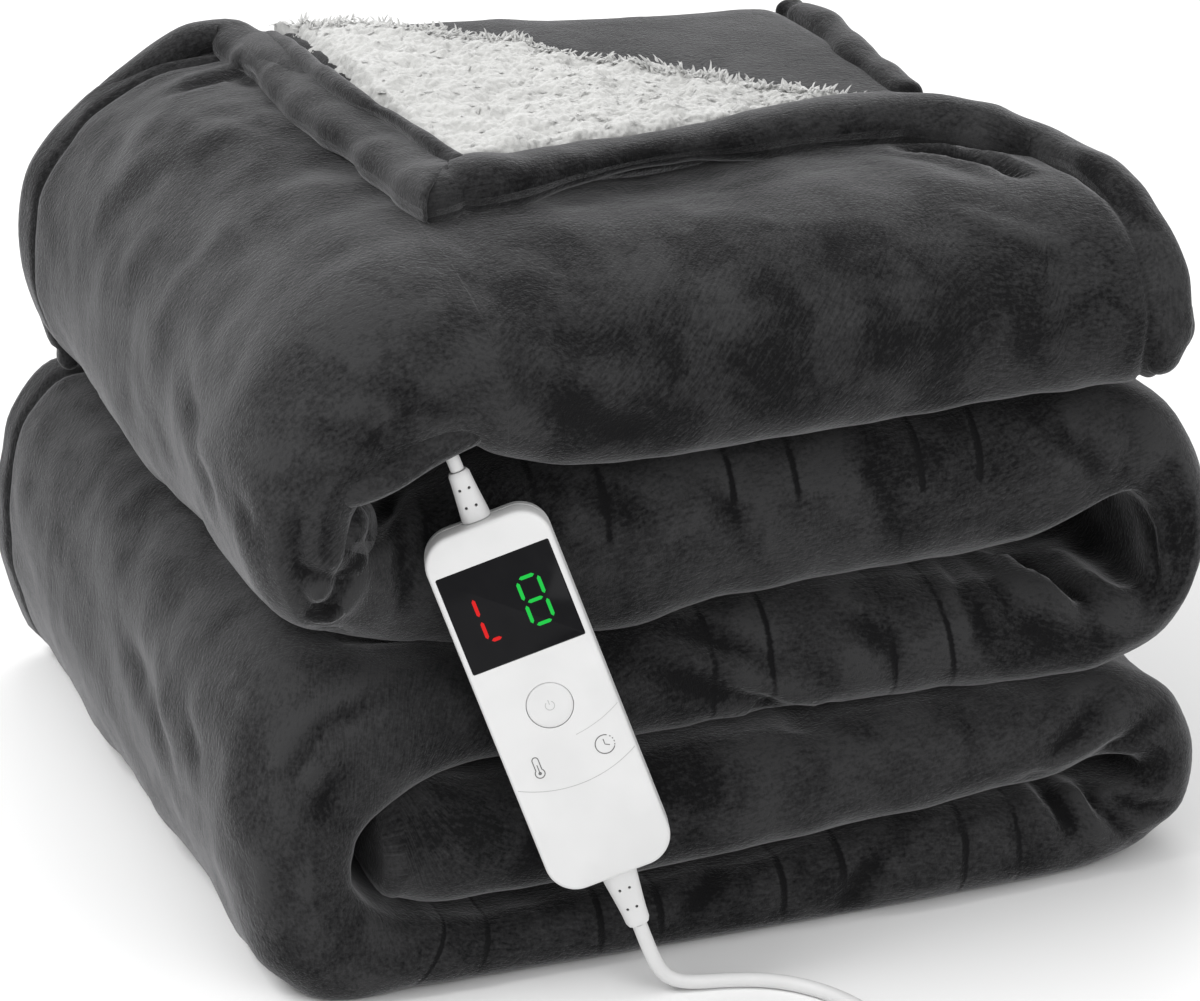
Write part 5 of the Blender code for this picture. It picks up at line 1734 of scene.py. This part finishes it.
def build_digit(name, lit, box, material):
    """A seven-segment sign in a box (left, bottom, right, top) of the case's face."""
    left, bottom, right, top = box
    mesh = bmesh.new()
    for segment in lit:
        (x0, z0), (x1, z1) = SEGMENTS[segment]
        start = Vector((left + (right - left) * x0, 0.0, bottom + (top - bottom) * z0))
        end = Vector((left + (right - left) * x1, 0.0, bottom + (top - bottom) * z1))
        along = (end - start).normalized()
        aside = Vector((along.z, 0.0, -along.x)) * SEGMENT_HALF
        start, end = start + along * 0.0011, end - along * 0.0011
        outline = [start, start + along * 0.0009 + aside, end - along * 0.0009 + aside, end,
                   end - along * 0.0009 - aside, start + along * 0.0009 - aside]
        loops = []
        for depth in (-0.00012, 0.0001):
            loops.append([mesh.verts.new(point + Vector((0.0, depth, 0.0))) for point in outline])
        join_rings(mesh, loops)
    case_piece(name, mesh, material)


# The fine arcs on the case's face: name, height of the centre, first angle, points, line width.
ARC_LINES = (("arc_line_lower", 0.0150, -118.5, 40, 0.00022),
             ("arc_line_upper", 0.0340, -84.0, 24, 0.00016))
ARC_LINE_RADIUS = 0.0500
ARC_LINE_END = -60.5
SIGN_LINE = 0.00038
THERMOMETER_SPOT = (-0.0133, -0.0230)
CLOCK_SPOT = (0.0142, -0.0235)
CLOCK_RADIUS = 0.0038


def build_prints():
    """Arc lines and the thermometer and clock signs on the case's face."""
    for name, height, start, steps, width in ARC_LINES:
        mesh = bmesh.new()
        line = arc((0.0, height), ARC_LINE_RADIUS, start, ARC_LINE_END, steps)
        stroke_mesh(mesh, line, width)
        case_piece(name, mesh, GROOVE_GREY)
    mesh = bmesh.new()
    x, z = THERMOMETER_SPOT
    bulb = arc((x, z - 0.0024), 0.0019, 130.0, 410.0, 20)
    cap = arc((x, z + 0.0032), 0.00122, 0.0, 180.0, 10)
    stroke_mesh(mesh, bulb + cap, SIGN_LINE, closed=True)
    stroke_mesh(mesh, ((x, z - 0.0024), (x, z + 0.0012)), 0.00034)
    stroke_mesh(mesh, arc((x, z - 0.0024), 0.00042, 0.0, 340.0, 12), 0.00050, closed=True)
    case_piece("thermometer_sign", mesh, PRINT_GREY)
    mesh = bmesh.new()
    x, z = CLOCK_SPOT
    stroke_mesh(mesh, arc((x, z), CLOCK_RADIUS, 60.0, 330.0, 32), SIGN_LINE)
    for start in (-24.0, -4.0, 16.0, 36.0):
        stroke_mesh(mesh, arc((x, z), CLOCK_RADIUS, start, start + 8.0, 4), SIGN_LINE)
    stroke_mesh(mesh, ((x, z + 0.0022), (x, z), (x + 0.0017, z - 0.0009)), 0.00036)
    case_piece("clock_sign", mesh, PRINT_GREY)


RELIEF_STEPS = 15
RELIEF_CORNERS = 32
# A relief's small holes: how far along it, and how far aside.
RELIEF_HOLES = ((0.30, -0.0020), (0.30, 0.0020), (0.66, -0.0019), (0.66, 0.0019))
HOLE_RADIUS = 0.00062
HOLE_DEPTH = 0.0022
HOLE_CORNERS = 12


def build_relief(name, sizes, end, node):
    """A tapered strain relief with small round holes in its face, with painted shade in them."""
    rings = []
    for index in range(RELIEF_STEPS + 1):
        share = index / RELIEF_STEPS
        flare = 1.0 - smooth_share(share, -0.25, 1.05) * 1.08
        wide = 0.5 * (sizes["tip"] + (sizes["wide"] - sizes["tip"]) * flare)
        if index == RELIEF_STEPS:
            wide -= 0.0007
        deep = wide * sizes["deep"] / sizes["wide"] + 0.0004
        height = end * (0.5 * CASE_LENGTH + GAP + sizes["length"] * share)
        ring = []
        for corner in range(RELIEF_CORNERS):
            angle = 2.0 * math.pi * corner / RELIEF_CORNERS
            flat = math.copysign(abs(math.cos(angle)) ** 0.8, math.cos(angle))
            ring.append(Vector((wide * flat, RELIEF_DEPTH + deep * math.sin(angle), height)))
        rings.append(ring)
    relief = case_piece(name, ring_mesh(rings), CORD_WHITE)
    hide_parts(node)
    spots = [(aside, end * (0.5 * CASE_LENGTH + GAP + sizes["length"] * share))
             for share, aside in RELIEF_HOLES]
    cutters = [disc_mesh(HOLE_RADIUS, CUT_FROM, RELIEF_DEPTH - HOLE_DEPTH, spot, HOLE_CORNERS)
               for spot in spots]
    # Dark discs near the bottom of each hole: painted shade.
    holes = bmesh.new()
    for spot in spots:
        part = disc_mesh(0.00058, RELIEF_DEPTH - 0.0036, RELIEF_DEPTH - 0.0023, spot,
                         HOLE_CORNERS)
        data = bpy.data.meshes.new("hole")
        part.to_mesh(data)
        part.free()
        holes.from_mesh(data)
        bpy.data.meshes.remove(data)
    cut_out(relief, cutters)
    case_piece(name + "_hole_shade", holes, HOLE_SHADE)


def build_shells():
    """The front shell, cut out for its window and its key, and the back shell."""
    front = case_piece("case_front", plate_mesh(CASE_WIDTH, CASE_LENGTH, CASE_CORNER, FRONT_RINGS),
                       CASE_WHITE)
    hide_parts("controller_front_shell")
    pocket = plate_mesh(WINDOW_WIDTH + POCKET_ROOM, WINDOW_LENGTH + POCKET_ROOM, WINDOW_CORNER,
                        ((CUT_FROM, 0.0), (WINDOW_THICK + GAP, 0.0)), WINDOW_STEPS, WINDOW_HEIGHT)
    hole = disc_mesh(BUTTON_RADIUS + BUTTON_ASIDE, CUT_FROM,
                     BUTTON_THICK + BUTTON_TRAVEL + BUTTON_ROOM, (0.0, BUTTON_HEIGHT), HOLE_STEPS)
    cut_out(front, (pocket, hole))
    back = case_piece("case_back", plate_mesh(CASE_WIDTH, CASE_LENGTH, CASE_CORNER, BACK_RINGS),
                      CASE_WHITE)
    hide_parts("controller_back_shell")


def build_window():
    """The black display window."""
    mesh = plate_mesh(WINDOW_WIDTH, WINDOW_LENGTH, WINDOW_CORNER, WINDOW_RINGS, WINDOW_STEPS,
                      WINDOW_HEIGHT)
    window = case_piece("window_glass", mesh, WINDOW_BLACK)
    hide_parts("display_window")


def build_button():
    """The round key and the power sign on it."""
    side = 2.0 * BUTTON_RADIUS
    mesh = plate_mesh(side, side, BUTTON_RADIUS - 0.00001, BUTTON_RINGS, BUTTON_STEPS,
                      BUTTON_HEIGHT)
    button = case_piece("button_cap", mesh, KEY_WHITE, BUTTON_BODY)
    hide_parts("power_button")
    glyph = bmesh.new()
    ring = arc((0.0, BUTTON_HEIGHT), 0.0018, 125.0, 415.0, 24)
    bar = ((0.0, BUTTON_HEIGHT + 0.0004), (0.0, BUTTON_HEIGHT + 0.0024))
    for points in (ring, bar):
        stroke_mesh(glyph, points, 0.00026, -0.00038)
    case_piece("button_sign", glyph, GROOVE_GREY, BUTTON_BODY)


def build_controller():
    """The controller's case with its window, key, signs and strain reliefs."""
    build_shells()
    build_window()
    build_button()
    build_digit("level_letter", LEVEL_LETTER, (-0.0125, 0.0315, -0.0062, 0.0505), GLOW_RED)
    build_digit("level_digit", LEVEL_DIGIT, (0.0058, 0.0310, 0.0142, 0.0505), GLOW_GREEN)
    build_prints()
    build_relief("top_relief", TOP_RELIEF, 1.0, "top_strain_relief")
    build_relief("bottom_relief", BOTTOM_RELIEF, -1.0, "bottom_strain_relief")


build_controller()
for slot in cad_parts["lead_socket"].material_slots:
    slot.material = CORD_WHITE


# ---------------------------------------------------------------- floor and light
FLOOR_HALF = 6.0
WORLD_STRENGTH = 0.80
LIGHTS_AIM = Vector((0.0, 0.0, 0.12))
# The soft lights: name, place, size and power.
LIGHTS = (
    ("key", (-1.5, 0.1, 1.9), 1.0, 34.0),
    ("fill", (0.5, -2.2, 1.2), 1.5, 13.0),
    ("back", (0.6, 1.7, 1.5), 1.3, 14.0),
)


def build_stage():
    """A plain pale floor, soft lights and a plain world."""
    mesh = bmesh.new()
    bmesh.ops.create_grid(mesh, x_segments=2, y_segments=2, size=FLOOR_HALF)
    look = Nodes("pale_floor", (0.90, 0.90, 0.90), 0.8)
    look.colour(look.mix(look.noise(3.0), (0.885, 0.885, 0.885), (0.905, 0.905, 0.905)))
    data = bpy.data.meshes.new("floor")
    mesh.to_mesh(data)
    mesh.free()
    data.materials.append(look.material)
    floor = new_object("floor", data)
    world = bpy.data.worlds.new("studio")
    world.use_nodes = True
    background = world.node_tree.nodes["Background"]
    background.inputs["Color"].default_value = (1.0, 1.0, 1.0, 1.0)
    background.inputs["Strength"].default_value = WORLD_STRENGTH
    bpy.context.scene.world = world
    bpy.context.scene.view_settings.view_transform = "Standard"
    for name, spot, size, power in LIGHTS:
        light = bpy.data.lights.new(name, "AREA")
        light.size = size
        light.energy = power
        lamp = new_object(name, light)
        lamp.location = spot
        aim = LIGHTS_AIM - Vector(spot)
        lamp.rotation_euler = aim.to_track_quat("-Z", "Y").to_euler()


build_stage()
